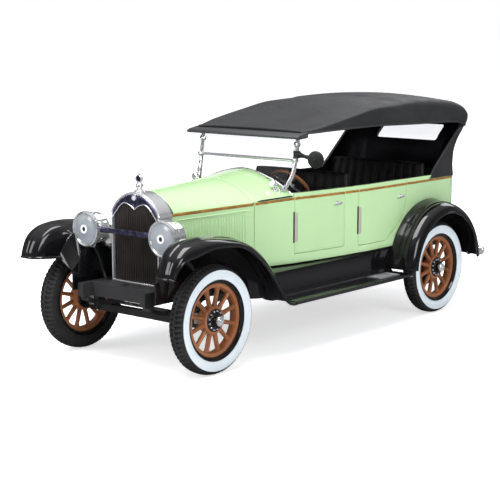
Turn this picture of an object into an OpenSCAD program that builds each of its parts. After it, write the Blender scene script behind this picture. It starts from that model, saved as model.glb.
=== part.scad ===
// Scale model of a 1920s open touring car with its folding top up.
// The front faces -Y, the car's left side is +X, and the wheels stand on z = 0.

/* [Wheels] */
// Distance between the front and rear axles
wheelbase = 127; // [118:1:153]
// Distance between the middle planes of the two tyres on an axle
track = 58.8; // [57:0.2:71]
// Outer radius of a tyre, and so the height of the axles
tyre_r = 17.4; // [16.6:0.1:18.2]
// Width of a tyre
tyre_w = 6; // [5:0.1:6.6]
// Radius where the tyre sits on its rim
rim_r = 12.7; // [11.4:0.1:13.4]
// Number of wooden spokes in a wheel
spoke_n = 12; // [8:1:14]
// Radius of the stub that a wheel turns on
stub_r = 1.2; // [0.9:0.05:1.5]
// Radius of a kingpin
kingpin_r = 0.7; // [0.5:0.05:0.9]
// Length of a steering arm, from the kingpin to the tie rod
arm_len = 9; // [7:0.5:11]

/* [Body] */
// Width of the body at the rear seat
body_w = 53; // [50:0.5:54]
// Width of the body where the front doors start
cowl_w = 45; // [42:0.5:47]
// Width of the bonnet at its rear end
hood_w = 36.6; // [33:0.2:39]
// Width of the bonnet at the radiator
nose_w = 20.6; // [19:0.2:24]
// Height of the painted line along the body
belt_z = 50.2; // [48:0.2:54]
// Height from the painted line to the top edge of the doors
belt_rise = 1.8; // [1.2:0.1:3]
// Height of the body's lower edge
body_z = 28; // [27:0.2:29]
// Thickness of the body's walls
wall = 1.2; // [0.9:0.1:1.6]
// Thickness of a door
door_t = 1.6; // [1.2:0.1:2]
// Length of a front door
front_door_l = 24.8; // [22:0.2:26]
// Length of a rear door along its lower edge
rear_door_l = 16.5; // [14:0.5:17]
// Height of the lower edge of the front doors
front_door_z = 31.1; // [30:0.1:33]
// Height of the lower edge of the rear doors
rear_door_z = 30.4; // [30:0.1:33]
// Height of the bonnet's ridge at the radiator
nose_z = 55.2; // [53:0.2:57]
// Height of the bonnet's ridge at the cowl
hood_z = 57.4; // [56:0.2:59]
// Height of the cowl in front of the windscreen
cowl_z = 59.7; // [58:0.2:61]
// Thickness of the bonnet's leaves and side panels
leaf_t = 0.9; // [0.7:0.1:1.2]

/* [Top] */
// Height of the top's centre line at the front edge
top_front_z = 74.5; // [73:0.5:78]
// Height of the top's highest point
top_z = 82.8; // [81:0.2:86]
// Thickness of the top
top_t = 1.2; // [0.9:0.1:1.6]
// Width of the window in the rear curtain
rear_window_w = 29; // [20:1:31]

/* [Fenders] */
// Distance from a wheel's centre to the crown of its rear fender
fender_r = 24.8; // [24:0.1:26]
// How far a fender's outer lip stands out from the tyre's middle plane
fender_out = 7.1; // [6:0.1:9]
// Thickness of the fenders
fender_t = 0.8; // [0.6:0.1:1]
// Height of the running boards
board_z = 18.5; // [17.5:0.1:20]

/* [Fits] */
// Clearance round a turning pin or stub
run_fit = 0.05; // [0.02:0.01:0.1]
// Gap between pieces that move past each other
gap = 0.3; // [0.25:0.05:0.5]
// Radius of the two screw holes for a display base
screw_r = 1.3; // [1:0.05:1.5]

/* [Hidden] */
$fn = 48;

mint = "#bfe2ab";
black = "#121214";
silver = "#d5d7da";
cloth = "#2b2c2f";
timber = "#8f4f28";

// Places along the car, from the two axles
front_y = -wheelbase / 2;
rear_y = wheelbase / 2;
radiator_y = front_y - 4.1;
hood_y = front_y + 2.5;
cowl_y = front_y + 34.1;
door_y = front_y + 50.5;
front_post_y = door_y + front_door_l;
rear_hinge_y = rear_y - 44.2;
back_y = rear_y + 22.5;
fender_nose_y = front_y - 23;
top_back_y = back_y + 12.5;
// The model's own origin is the middle of its length
mid_y = (fender_nose_y + top_back_y) / 2;

axle_z = tyre_r;
fender_x = track / 2 + fender_out;
door_top = belt_z + belt_rise;
body_x = body_w / 2;
corner_r = 8;
rail_x = 14;
rail_w = 2.4;
rail_z = 21.5;
rail_h = 4.5;
engine_z = rail_z + 0.5;
floor_z = 26.2;
floor_t = 1;
kingpin_x = track / 2 - 5.4;
hub_x = track / 2 - tyre_w / 2;
stub_x = track / 2 + 1.6;
house_x = body_x - 3.3;
arch_r = fender_r + 0.9;

// ---------- helpers ----------

// A copy of the children on both sides of the car
module both() {
    children();
    mirror([1, 0, 0]) children();
}

// A side-view outline (y, z) made solid from x0 to x1
module across(x0, x1) {
    translate([x0, 0, 0]) rotate([90, 0, 90]) linear_extrude(x1 - x0) children();
}

// A front-view outline (x, z) made solid from y0 to y1
module along(y0, y1) {
    translate([0, y1, 0]) rotate([90, 0, 0]) linear_extrude(y1 - y0) children();
}

// A round bar from a to b
module bar(a, b, r) {
    d = b - a;
    len = norm(d);
    translate(a) rotate([0, acos(d.z / len), atan2(d.y, d.x)]) cylinder(r = r, h = len);
}

// Round bars through a list of points, with a slightly proud ball at each bend
module bent_bar(points, r) {
    for (i = [0:len(points) - 2]) bar(points[i], points[i + 1], r);
    for (i = [1:len(points) - 2]) translate(points[i]) sphere(r = r * 1.06);
}

// A rectangle with round corners, centred
module round_rect(w, h, r) {
    translate([-w / 2 + r, -h / 2]) square([w - 2 * r, h]);
    translate([-w / 2, -h / 2 + r]) square([w, h - 2 * r]);
    for (x = [-1, 1], y = [-1, 1]) translate([x * (w / 2 - r), y * (h / 2 - r)]) circle(r = r);
}

// A closed skin over rings, each an outer line and then the same number of inner points back.
// Seen from in front of the first ring, each ring runs clockwise.
module skin(rings) {
    n = len(rings[0]);
    m = len(rings);
    points = [for (ring = rings) each ring];
    sides = [for (i = [0:m - 2], j = [0:n - 1]) let (k = (j + 1) % n)
        each [[i * n + j, (i + 1) * n + j, i * n + k], [i * n + k, (i + 1) * n + j, (i + 1) * n + k]]];
    last = (m - 1) * n;
    ends = [for (j = [0:n / 2 - 2]) let (a = [j, j + 1, n - 2 - j, n - 1 - j])
        each [a, [last + a[3], last + a[2], last + a[1], last + a[0]]]];
    polyhedron(points, concat(sides, ends));
}

function flipped(points) = [for (i = [len(points) - 1:-1:0]) [-points[i].x, points[i].y]];

// The plane normal at each point of an open line of points, to its left
function line_normals(p) = [for (i = [0:len(p) - 1])
    let (a = p[max(i - 1, 0)], b = p[min(i + 1, len(p) - 1)], d = b - a) [-d.y, d.x] / norm(d)];

// A strip with a thickness: the line, and the same line set back by t
function strip(p, t) = let (n = line_normals(p))
    concat(p, [for (i = [len(p) - 1:-1:0]) p[i] - t * n[i]]);

// ---------- shape of the body ----------

// Half width of the body at y
body_plan = [[hood_y, nose_w / 2], [cowl_y, hood_w / 2], [door_y, cowl_w / 2],
             [front_post_y, body_x - 1], [rear_hinge_y, body_x - 0.5], [rear_hinge_y + 8, body_x]];
function half(y) = lookup(y, body_plan);

// Height of the painted line at y
function line_z(y) = lookup(y, [[hood_y, belt_z - 1.9], [cowl_y, belt_z - 0.7], [door_y, belt_z]]);

// Height of the ridge at y
function ridge_z(y) = lookup(y, [[hood_y, nose_z], [cowl_y, hood_z], [door_y, cowl_z]]);

// How round the top of the section is at y: 2 is a parabola
function round_power(y) = lookup(y, [[hood_y, 2.1], [cowl_y, 1.8], [door_y, 1.7]]);

// Height of the bonnet and cowl at x, y
function crown_z(x, y) = let (u = min(abs(x) / half(y), 1), s = 0.9)
    line_z(y) + (ridge_z(y) - line_z(y) - s) * (1 - pow(u, round_power(y))) + s * sqrt(1 - pow(u, 6));

// Plan of one side of the tub, set inwards by off
function tub_side(off) = concat(
    [for (y = [door_y, front_post_y, rear_hinge_y, rear_hinge_y + 8]) [half(y) - off, y]],
    [for (a = [0:10:90]) [body_x - corner_r + (corner_r - off) * cos(a),
                          back_y - corner_r + (corner_r - off) * sin(a)]]);

// Plan of the tub's wall, from its outside to a depth t
module tub_wall(t) {
    difference() {
        polygon(concat(tub_side(0), flipped(tub_side(0))));
        polygon(concat([[half(door_y) - t - 0.01, door_y - 1]], tub_side(t), flipped(tub_side(t)),
                       [[t + 0.01 - half(door_y), door_y - 1]]));
    }
}

// Side view of a front door, set inwards by g
module front_door_outline(g) {
    translate([door_y + g, front_door_z + g])
        square([front_door_l - 2 * g, door_top - front_door_z + 1]);
}

// Side view of a rear door, with its rear corner cut along the fender
module rear_door_outline(g) {
    polygon([[rear_hinge_y + g, rear_door_z + g], [rear_hinge_y + rear_door_l - g, rear_door_z + g],
             [rear_y - 17.2 - g, 37.2 + 0.4 * g], [rear_y - 14.6 - g, 42.8], [rear_y - 14.6 - g, door_top + 1],
             [rear_hinge_y + g, door_top + 1]]);
}

module body_tub() {
    color(mint) difference() {
        translate([0, 0, body_z]) linear_extrude(door_top - body_z) tub_wall(wall);
        across(-40, 40) front_door_outline(0);
        across(-40, 40) rear_door_outline(0);
        for (s = [-1, 1]) translate([s * body_x, rear_y, axle_z]) rotate([0, 90, 0])
            cylinder(r = arch_r + 0.05, h = 8, center = true, $fn = 96);
    }
}

// Distance of a door's hinge line behind its front edge, and inside its outer face
hinge_back = 0.55;
hinge_in = 0.15;
barrel_r = 0.5;

// A door: the part of the tub's wall inside its outline, with its hinge barrel and its handle
module door(y, z0, z1, handle_y, handle_z) {
    color(mint) intersection() {
        translate([0, 0, body_z]) linear_extrude(door_top - body_z) tub_wall(door_t);
        across(0, 40) children();
    }
    color(silver) {
        translate([half(y) - hinge_in, y + hinge_back, z0]) cylinder(r = barrel_r, h = z1 - z0);
        bar([half(handle_y) - 0.5, handle_y, handle_z], [half(handle_y) + 1.2, handle_y, handle_z], 0.45);
        bar([half(handle_y) + 1, handle_y + 0.6, handle_z], [half(handle_y) + 1, handle_y - 3.4, handle_z], 0.4);
    }
}

module front_door_left() {
    door(door_y, 35.3, 45.3, front_post_y - 4, 46.9) front_door_outline(gap / 2);
}

module front_door_right() { mirror([1, 0, 0]) front_door_left(); }

module rear_door_left() {
    door(rear_hinge_y, 34.9, 44.3, rear_y - 19, 45.9) rear_door_outline(gap / 2);
}

module rear_door_right() { mirror([1, 0, 0]) rear_door_left(); }

// Cross-section of the cowl at y, as an upside-down U set inwards by off
function cowl_ring(y, off) = let (h = half(y) - off,
    side = [for (i = [0:11]) let (x = h * sin(90 - 90 * i / 11)) [x, crown_z(x * half(y) / h, y) - off]])
    concat([[h, body_z]], side, [for (i = [10:-1:0]) [-side[i].x, side[i].y]], [[-h, body_z]]);

module cowl() {
    rings = [for (t = [6:-1:0]) let (y = cowl_y + (door_y - cowl_y) * t / 6, a = cowl_ring(y, 0), b = cowl_ring(y, wall))
        [for (p = concat(a, [for (i = [len(b) - 1:-1:0]) b[i]])) [p.x, y, p.y]]];
    color(mint) skin(rings);
}

// A plate that fills the cowl's section at y, from z0 up
module bulkhead(y, t, z0) {
    h = half(y) - wall - 0.1;
    top_line = [for (i = [-10:10]) let (x = h * sin(9 * i)) [x, crown_z(x * half(y) / h, y) - wall - 0.15]];
    along(y, y + t) polygon(concat([[h, z0]], [for (i = [20:-1:0]) top_line[i]], [[-h, z0]]));
}

module firewall() { color(black) bulkhead(cowl_y + 0.6, 0.9, floor_z + floor_t); }

module dashboard() { color(black) bulkhead(door_y - 2, 0.9, belt_z - 4); }

module floor_pan() {
    inner = wall + 0.2;
    color(black) translate([0, 0, floor_z]) linear_extrude(floor_t) polygon(concat(
        [[house_x - 0.4, back_y - inner], [house_x - 0.4, rear_hinge_y + 8],
         [half(rear_hinge_y) - door_t - 0.3, rear_hinge_y], [half(front_post_y) - door_t - 0.3, front_post_y],
         [half(door_y) - door_t - 0.3, door_y], [half(cowl_y) - inner, cowl_y + 0.2]],
        flipped([[house_x - 0.4, back_y - inner], [house_x - 0.4, rear_hinge_y + 8],
         [half(rear_hinge_y) - door_t - 0.3, rear_hinge_y], [half(front_post_y) - door_t - 0.3, front_post_y],
         [half(door_y) - door_t - 0.3, door_y], [half(cowl_y) - inner, cowl_y + 0.2]])));
}

// ---------- bonnet and radiator ----------

hinge_r = 0.5;
// Depth of the ridge rod's middle line under the bonnet's surface
hinge_drop = 0.1;
hood_tilt = atan((hood_z - nose_z) / (cowl_y - hood_y));
leaf_front_y = hood_y + gap + 0.1;
leaf_rear_y = cowl_y - gap;
function seam_z(y) = line_z(y) + 0.5;

module bonnet_sides() {
    color(mint) both() skin([for (y = [cowl_y - 0.05, hood_y])
        [[half(y) - leaf_t, y, floor_z], [half(y), y, floor_z],
         [half(y), y, seam_z(y) - gap], [half(y) - leaf_t, y, seam_z(y) - gap]]]);
}

// The rod along the ridge that both leaves hang on
module bonnet_hinge() {
    color(mint) bar([0, hood_y + 0.2, ridge_z(hood_y + 0.2) - hinge_drop],
                    [0, cowl_y - 0.2, ridge_z(cowl_y - 0.2) - hinge_drop], hinge_r);
}

// One leaf, from the rod down to the seam. Its front end is square to the rod.
module bonnet_leaf_left() {
    n = 9;
    rings = [for (t = [0:5]) let (y = leaf_front_y + (leaf_rear_y - leaf_front_y) * t / 5,
        x0 = hinge_r + 0.2,
        line = [for (i = [0:n]) let (x = x0 + (half(y) - x0) * sin(90 * i / n)) 
                [x, max(crown_z(x, y), seam_z(y) + (i < n ? 0.4 : 0))]],
        inner = [for (p = line) let (u = p.x / half(y))
                 [p.x - leaf_t * pow(u, 3), p.y - leaf_t * (1 - pow(u, 6))]])
        [for (p = concat(line, [for (i = [n:-1:0]) inner[i]])) [p.x, t == 0 ? y + (ridge_z(y) - p.y) * tan(hood_tilt) : y, p.y]]];
    color(mint) skin([for (i = [5:-1:0]) rings[i]]);
}

module bonnet_leaf_right() { mirror([1, 0, 0]) bonnet_leaf_left(); }

radiator_z = 24.7;
shell_r = 11.6;
shell_d = hood_y - radiator_y - gap;

module shell_outline(g) {
    intersection() {
        translate([g - nose_w / 2, radiator_z + g]) square([nose_w - 2 * g, 40]);
        union() {
            translate([0, nose_z - shell_r]) circle(r = shell_r - g, $fn = 96);
            translate([-15, radiator_z]) square([30, nose_z - shell_r - radiator_z]);
        }
    }
}

// The opening in the shell, with the two scallops below the tank
module core_outline(g) {
    polygon([[-nose_w / 2 + 1 + g, radiator_z + 1.4 + g], [nose_w / 2 - 1 - g, radiator_z + 1.4 + g],
             [nose_w / 2 - 1 - g, nose_z - 7.2], [7.8, nose_z - 3.9 - g], [4.5, nose_z - 2.7 - g],
             [1.8, nose_z - 3.6 - g], [0, nose_z - 4.9 - g], [-1.8, nose_z - 3.6 - g],
             [-4.5, nose_z - 2.7 - g], [-7.8, nose_z - 3.9 - g], [-nose_w / 2 + 1 + g, nose_z - 7.2]]);
}

module radiator_shell() {
    color(silver) along(radiator_y, radiator_y + shell_d) difference() {
        shell_outline(0);
        core_outline(0);
    }
}

module radiator_core() {
    color(black) along(radiator_y + 0.8, radiator_y + shell_d - 0.6) core_outline(0.02);
}

module radiator_cap() {
    cap_y = radiator_y + 2.7;
    color(silver) {
        translate([0, cap_y, nose_z - 0.1]) cylinder(r = 1.7, h = 0.7);
        translate([0, cap_y, nose_z + 1.5]) sphere(r = 1.3);
        translate([0, cap_y, nose_z + 2]) cylinder(r = 0.45, h = 1.2);
        translate([0, cap_y + 0.5, nose_z + 4.2]) rotate([90, 0, 0]) cylinder(r = 1.35, h = 1);
        translate([0, cap_y, nose_z + 5.3]) sphere(r = 0.45);
    }
}

// ---------- lamps ----------

lamp_x = 17;
lamp_y = radiator_y - 6.5;
lamp_z = 42.9;
lamp_r = 5.5;

module headlamps() {
    color(silver) both() {
        translate([lamp_x, lamp_y, lamp_z]) rotate([-90, 0, 0]) rotate_extrude($fn = 64) polygon([
            [lamp_r - 0.7, -0.5], [lamp_r, -0.3], [lamp_r, 1.2], [4.9, 1.5], [4.6, 3.6], [3.6, 5.6],
            [1.8, 6.9], [0, 7.2], [0, 6.2], [1.5, 5.9], [3, 4.7], [3.9, 3], [4.2, 1], [lamp_r - 0.9, 0.4]]);
        bar([lamp_x, lamp_y + 3.2, lamp_z - 4.2], [lamp_x - 1.2, lamp_y + 4.6, 33], 0.55);
        bar([lamp_x - 1.2, lamp_y + 4.6, 33], [rail_x, lamp_y + 5.4, rail_z + rail_h - 0.5], 0.75);
    }
}

module headlamp_lenses() {
    color("#e8eef2") both() translate([lamp_x, lamp_y, lamp_z]) rotate([-90, 0, 0])
        translate([0, 0, -0.4]) cylinder(r = lamp_r - 0.95, h = 0.5, $fn = 64);
}

module headlamp_bar() {
    bar_y = lamp_y + 3.2;
    color(silver) along(bar_y - 0.3, bar_y + 0.3) polygon([for (p = [[-12.2, 1], [-6, 0.8], [6, 0.8], [12.2, 1],
        [12.2, -1], [6, -0.8], [-6, -0.8], [-12.2, -1]]) [p.x, lamp_z + p.y]]);
}

module cowl_lamps() {
    lamp = [cowl_w / 2 - 4.7, cowl_y + 11];
    foot_z = crown_z(lamp.x, lamp.y);
    color(silver) both() {
        translate([lamp.x, lamp.y, foot_z - 0.4]) cylinder(r = 0.5, h = 2);
        translate([lamp.x, lamp.y - 0.9, foot_z + 2.3]) rotate([-90, 0, 0]) cylinder(r = 1.25, h = 1);
        translate([lamp.x, lamp.y, foot_z + 2.3]) sphere(r = 1.2);
    }
}

module tail_lamps() {
    x = 30;
    y = rear_y + fender_r + 4.6;
    z = axle_z + 2.3;
    color(silver) both() {
        translate([x, y, z]) rotate([-90, 0, 0]) cylinder(r = 1.5, h = 4.6);
        translate([x, y + 3.6, z]) rotate([-90, 0, 0]) cylinder(r = 1.85, h = 1);
        bar([x, rear_y + fender_r - 0.4, z], [x, y + 0.5, z], 0.6);
    }
}

// ---------- fenders and running boards ----------

// Crown of a front fender in side view, from its nose to the running board
crown_line = [[-23, 16.2], [-22.4, 18.6], [-20.6, 22.2], [-17.6, 24.8], [-14, 26.1], [-9, 26.7], [-4, 26.5],
              [1, 26], [6.5, 25.1], [11.6, 23.5], [16, 21], [20.2, 17.6], [23.8, 13.6], [27, 9.4], [29.4, 5.6],
              [32, 2.6], [35, 1.3]];
// At each place along the crown: inner edge, drop to the inner edge, drop to the outer lip, lip's half width
fender_edges = [[-23, [25.4, 1.4, 1.2, 34.4]], [-20, [24, 2, 2.4, 35.4]], [-15, [22.6, 2.6, 3.6, 36.1]],
                [-9, [21.4, 3.4, 3, 36.5]], [-4.4, [20.6, 3.6, 2.5, 36.5]], [-2.2, [12.6, 7.2, 2.3, 36.5]],
                [6, [14, 7, 2, 36.5]], [12, [15.6, 6.4, 2.4, 36.5]], [18, [17.6, 4.4, 2.8, 36.5]],
                [24, [20.4, 2.4, 2.8, 36.4]], [30, [23.6, 1, 2, 36.2]], [35, [25.6, 0.4, 1, 36]]];
function edge_at(y, k) = lookup(y, [for (e = fender_edges) [e[0], e[1][k]]]);

// Section of a front fender, as distance from the middle of the car and height over the crown
function fender_section(y) =
    let (x0 = edge_at(y, 0), d = edge_at(y, 1), lip = edge_at(y, 2), x1 = edge_at(y, 3) - (36.5 - fender_x))
    concat([for (i = [0:5]) let (t = i / 5) [x0 + (27 - x0) * t, -d * (0.5 + 0.5 * cos(180 * t))]],
           [[30, 0.25], [32.4, 0]],
           [for (i = [1:4]) let (a = 90 * i / 4) [32.4 + (x1 - 32.4) * sin(a), -lip * (1 - cos(a))]]);

module front_fender() {
    normals = line_normals(crown_line);
    rings = [for (i = [0:len(crown_line) - 1]) let (p = crown_line[i], s = strip(fender_section(p.x), fender_t))
        [for (q = s) [q.x, front_y + p.x + normals[i].x * q.y, axle_z + p.y + normals[i].y * q.y]]];
    color(black) skin(rings);
}

module front_fenders() { both() front_fender(); }

module rear_fenders() {
    lip_r = fender_r - 3.6;
    section = concat([[-house_x, 17], [-house_x, arch_r], [-body_x, arch_r], [-body_x - 1.2, fender_r + 0.2], [-32, fender_r]],
        [for (a = [15:15:90]) [-32 - (fender_x - 32) * sin(a), lip_r + (fender_r - lip_r) * cos(a)]],
        [for (a = [90:-15:0]) [-32 - (fender_x - 32 - fender_t) * sin(a), lip_r + (fender_r - fender_t - lip_r) * cos(a)]],
        [[-body_x, arch_r - 0.9], [-house_x - 0.8, arch_r - 0.9], [-house_x - 0.8, 17]]);
    color(black) both() translate([0, rear_y, axle_z]) rotate([0, -90, 0]) rotate([0, 0, -85])
        rotate_extrude(angle = 170, $fn = 120) polygon([for (p = section) [p.y, -p.x]]);
}

module running_boards() {
    board_front = front_y + 35.2;
    board_rear = rear_y - fender_r + 1.6;
    color(black) both() {
        translate([26.2, board_front, board_z - 1]) cube([fender_x - 26.7, board_rear - board_front, 1]);
        translate([25.2, board_front, board_z - 1]) cube([0.8, board_rear - board_front - 1.4, body_z - board_z + 0.8]);
        translate([25.9, board_front, board_z - 1]) cube([0.4, board_rear - board_front - 1.4, 1]);
    }
}

module step_plates() {
    color(silver) both() translate([28, rear_y - 41.2, board_z + 0.02]) cube([6, 12, 0.4]);
}

// ---------- chassis ----------

module chassis() {
    rear_end = back_y + 2;
    color(black) difference() {
        union() {
            both() translate([rail_x - rail_w / 2, front_y - 15, rail_z]) cube([rail_w, rear_end - front_y + 15, rail_h]);
            for (y = [front_y - 11, front_y + 32, rear_y - 44, rear_y + 16]) translate([-rail_x, y, rail_z])
                cube([2 * rail_x, 6, rail_h]);
            // Bearer under the engine
            translate([-rail_x, hood_y + 14, rail_z - 1.2]) cube([2 * rail_x, 5, engine_z - 0.1 - rail_z + 1.2]);
            // Outriggers that carry the running boards
            both() for (y = [front_y + 39, rear_y - 46]) translate([rail_x, y, rail_z]) cube([11.1, 3, rail_h - 1]);
        }
        for (y = screw_ys) translate([0, y, rail_z - 1]) cylinder(r = screw_r, h = rail_h + 2);
    }
}

screw_ys = [front_y - 8, rear_y + 19];

// A stack of leaves, bowed between two hangers
module leaf_spring(x, y, z, span, rise) {
    r = (span * span / 4 + rise * rise) / (2 * rise);
    leaf_h = 1.4;
    across(x - 1.2, x + 1.2) intersection() {
        translate([y, z + r]) difference() {
            circle(r = r, $fn = 128);
            circle(r = r - leaf_h, $fn = 128);
        }
        translate([y - span / 2, z - 1]) square([span, rail_z - 0.1 - z + 1]);
    }
    for (s = [-1, 1]) bar([x - 1.6, y + s * (span / 2 - 0.4), rail_z - 0.9],
                          [x + 1.6, y + s * (span / 2 - 0.4), rail_z - 0.9], 0.75);
}

module springs() {
    color(black) both() {
        leaf_spring(rail_x, front_y, axle_z - 0.4, 26, 3);
        leaf_spring(rail_x + 3, rear_y, axle_z + 2.15, 34, 1.6);
    }
}

beam_z = axle_z - 3;

module front_axle() {
    yoke_x = kingpin_x - 1.9;
    color(black) {
        across(-yoke_x + 2, yoke_x - 2) translate([front_y - 1.1, beam_z - 0.2]) square([2.2, 2.4]);
        both() difference() {
            union() {
                translate([yoke_x - 2.2, front_y - 1.5, beam_z - 0.2]) cube([2.2, 3, 6.3]);
                for (z = [beam_z - 0.2, beam_z + 5]) hull() {
                    translate([kingpin_x, front_y, z]) cylinder(r = 1.5, h = 1.1);
                    translate([yoke_x - 1, front_y - 1.5, z]) cube([0.9, 3, 1.1]);
                }
            }
            translate([kingpin_x, front_y, beam_z]) cylinder(r = kingpin_r, h = 0.01);
        }
        both() translate([kingpin_x, front_y, beam_z + 0.5]) cylinder(r = kingpin_r, h = 5);
    }
}

// A steering knuckle: boss on the kingpin, stub for the wheel, arm and pin for the tie rod
module knuckle_left() {
    color(silver) difference() {
        union() {
            translate([kingpin_x, front_y, axle_z - 1.8]) cylinder(r = 1.6, h = 3.5);
            bar([kingpin_x + 1, front_y, axle_z], [stub_x, front_y, axle_z], stub_r);
            translate([kingpin_x - 0.7, front_y + 1.2, axle_z - 0.6]) cube([1.4, arm_len - 1.2, 1.2]);
            translate([kingpin_x, front_y + arm_len, axle_z - 3.4]) cylinder(r = 0.6, h = 3.6);
            translate([kingpin_x, front_y + arm_len, axle_z - 0.6]) cylinder(r = 1.1, h = 1.2);
        }
        translate([kingpin_x, front_y, axle_z - 2]) cylinder(r = kingpin_r + run_fit, h = 4);
    }
}

module knuckle_right() { mirror([1, 0, 0]) knuckle_left(); }

module tie_rod() {
    z = axle_z - 3;
    color(silver) difference() {
        union() {
            bar([-kingpin_x + 1, front_y + arm_len, z + 0.75], [kingpin_x - 1, front_y + arm_len, z + 0.75], 0.6);
            both() translate([kingpin_x, front_y + arm_len, z]) cylinder(r = 1.3, h = 1.5);
        }
        both() translate([kingpin_x, front_y + arm_len, z - 1]) cylinder(r = 0.6 + run_fit, h = 4);
    }
}

module rear_axle() {
    drum_x = hub_x - 0.3;
    half_line = [[stub_r, stub_x], [stub_r, drum_x], [7.5, drum_x], [7.5, drum_x - 2], [2, drum_x - 2],
                 [2, 6.4], [3.6, 5.2], [5.2, 2.6]];
    color(black) {
        translate([0, rear_y, axle_z]) rotate([0, 90, 0]) rotate_extrude() polygon(concat([[0, stub_x]],
            half_line, [for (i = [len(half_line) - 1:-1:0]) [half_line[i].x, -half_line[i].y]], [[0, -stub_x]]));
        // Propeller shaft
        bar([0, rear_y - 3, axle_z + 0.2], [0, front_y + 39.5, axle_z + 2.6], 1.1);
    }
}

module exhaust() {
    x = -11;
    color("#77787c") {
        bent_bar([[x + 3, front_y + 24, rail_z + 2], [x, front_y + 32, rail_z - 3], [x, rear_y - 44, rail_z - 3.4],
                  [x, rear_y - 8, rail_z - 1], [x, rear_y + 8, rail_z - 1], [x, back_y + 3, rail_z - 4]], 0.8);
        bar([x, rear_y - 46, rail_z - 3.4], [x, rear_y - 26, rail_z - 2.2], 2);
    }
}

module engine_block() {
    color("#4a4c50") translate([-5, hood_y + 3, engine_z]) cube([10, 25, 26]);
}

// ---------- windscreen ----------

post_x = 21.5;
// Side view of a windscreen post, from its foot on the cowl to its head
post_line = [[6.6 , -5.2], [3.7, -2.4], [1.6, 0.1], [0, 3.4], [-1.3, 7.8], [-3, 10.9]];
function post_points(x) = [for (p = post_line) [x, door_y - p.x, cowl_z + p.y]];
glass_mid = [door_y + 1.1, cowl_z + 3.3];

module windscreen_frame() {
    color(silver) {
        both() bent_bar(post_points(post_x), 0.6);
        bar([-post_x, glass_mid.x, glass_mid.y], [post_x, glass_mid.x, glass_mid.y], 0.55);
        bar([-post_x, door_y + 2.9, cowl_z + 10.6], [post_x, door_y + 2.9, cowl_z + 10.6], 0.6);
        both() for (p = [post_points(post_x)[3], post_points(post_x)[4]]) translate(p) sphere(r = 0.95);
    }
}

// The two panes, one over and one under the middle bar
module windscreen_glass() {
    w = post_x - 0.7;
    bottom = [for (i = [-8:8]) let (x = i * w / 8) [x, max(crown_z(x, door_y - 2), belt_z + 3) + 0.3]];
    color("#dfe8ea", 0.4) {
        translate([0, glass_mid.x + 0.35, glass_mid.y + 0.7]) rotate([-13.5, 0, 0]) translate([-w, -0.25, 0])
            cube([2 * w, 0.5, 6.2]);
        translate([0, glass_mid.x - 0.35, glass_mid.y]) rotate([90 - 27, 0, 0]) linear_extrude(0.5, center = true)
            polygon(concat([[w, -0.7], [-w, -0.7]], [for (p = bottom) [p.x, (p.y - glass_mid.y) / cos(27)]]));
    }
}

module sun_visor() {
    z = cowl_z + 12.3;
    color(black) across(-26.4, 26.4) polygon([[door_y + 2.2, z + 0.9], [door_y + 2.2, z - 0.5],
        [door_y - 1.4, z - 0.9], [door_y - 1.9, z - 0.5], [door_y - 1.4, z + 0.4]]);
}

module side_mirror() {
    clamp = [post_x, door_y + 0.9, cowl_z + 5.4];
    eye = [28.2, door_y + 4.4, cowl_z + 3.8];
    color(black) {
        translate(clamp) translate([0.3, 0, -1]) cylinder(r = 1, h = 2);
        bar(clamp, eye, 0.45);
        translate(eye) rotate([0, 0, -14]) rotate([-90, 0, 0]) cylinder(r = 3, h = 1.2);
    }
}

// ---------- top ----------

// Along the car: place, half width, centre height, edge height, lower edge of the valance
roof_line = [
    [door_y - 0.6, 26.2, 0, -0.5, -1.4], [door_y + 5, 26.4, 1.6, 0.5, -1.2], [door_y + 13, 26.5, 3.3, 2.5, -1.2],
    [door_y + 28, 26.5, 6, 4.6, -1.2], [door_y + 43, 26.5, 7.7, 5.6, -1.4], [rear_y - 18.5, 26.5, 8.3, 6.5, -2],
    [rear_y - 3, 26.5, 7.7, 6.4, -2.3], [rear_y + 8, 26.5, 6.8, 5.4, -3.4], [rear_y + 17, 26.5, 5.5, 4.2, -4.9],
    [rear_y + 24, 26.5, 4.4, 2.8, -5.8], [rear_y + 29, 25.9, 3, 1.2, -5.8], [rear_y + 32.6, 23.8, 0.8, -0.6, -5.8],
    [top_back_y - 0.9, 20.4, -1.4, -2.2, -5.8], [top_back_y, 17, -3.2, -3.6, -5.8]];

function roof_top(x, w, c, e) = top_front_z + e + (c - e) * (1 - pow(abs(x) / w, 2));

// Section of the roof: over the crown from one valance to the other, and back inside
function roof_ring(r, t) = let (w = r[1], k = (top_z - top_front_z) / 8.3,
    over = concat([[w - t, top_front_z + r[4]]],
        [for (i = [8:-1:-8]) let (x = (w - 0.5) * sin(90 * i / 8)) [x * (w - t) / w, roof_top(x, w, r[2] * k, r[3] * k) - t]],
        [[-w + t, top_front_z + r[4]]]))
    [for (p = over) [p.x, r[0], p.y]];

module top() {
    rings = [for (r = roof_line) concat(roof_ring(r, 0), [for (i = [18:-1:0]) roof_ring(r, top_t)[i]])];
    color(cloth) skin([for (i = [len(rings) - 1:-1:0]) rings[i]]);
}

// Rear and quarter curtains: at each height, a U in plan set inwards by t
curtain_foot = door_top + 0.1 - top_front_z;
curtain_zs = [curtain_foot, -20, -14, -9, -6.3, -5.3];
function curtain_back(z) = back_y + lookup(z, [[-22.4, 2.2], [-20, 3.6], [-14, 6.3], [-9, 9.3], [-6, 10.6], [-5, 10.8]]);
function curtain_front(z) = rear_y + 4.6 + (z + 22.4) * 0.92;
function curtain_ring(z, t) = let (r = 8, x = body_x - top_t - 0.2 - t, y = curtain_back(z) - t,
    side = concat([[x, curtain_front(z)]], [for (a = [0:15:90]) [x - r + r * cos(a), y - r + r * sin(a)]]))
    concat(side, flipped(side));

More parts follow.
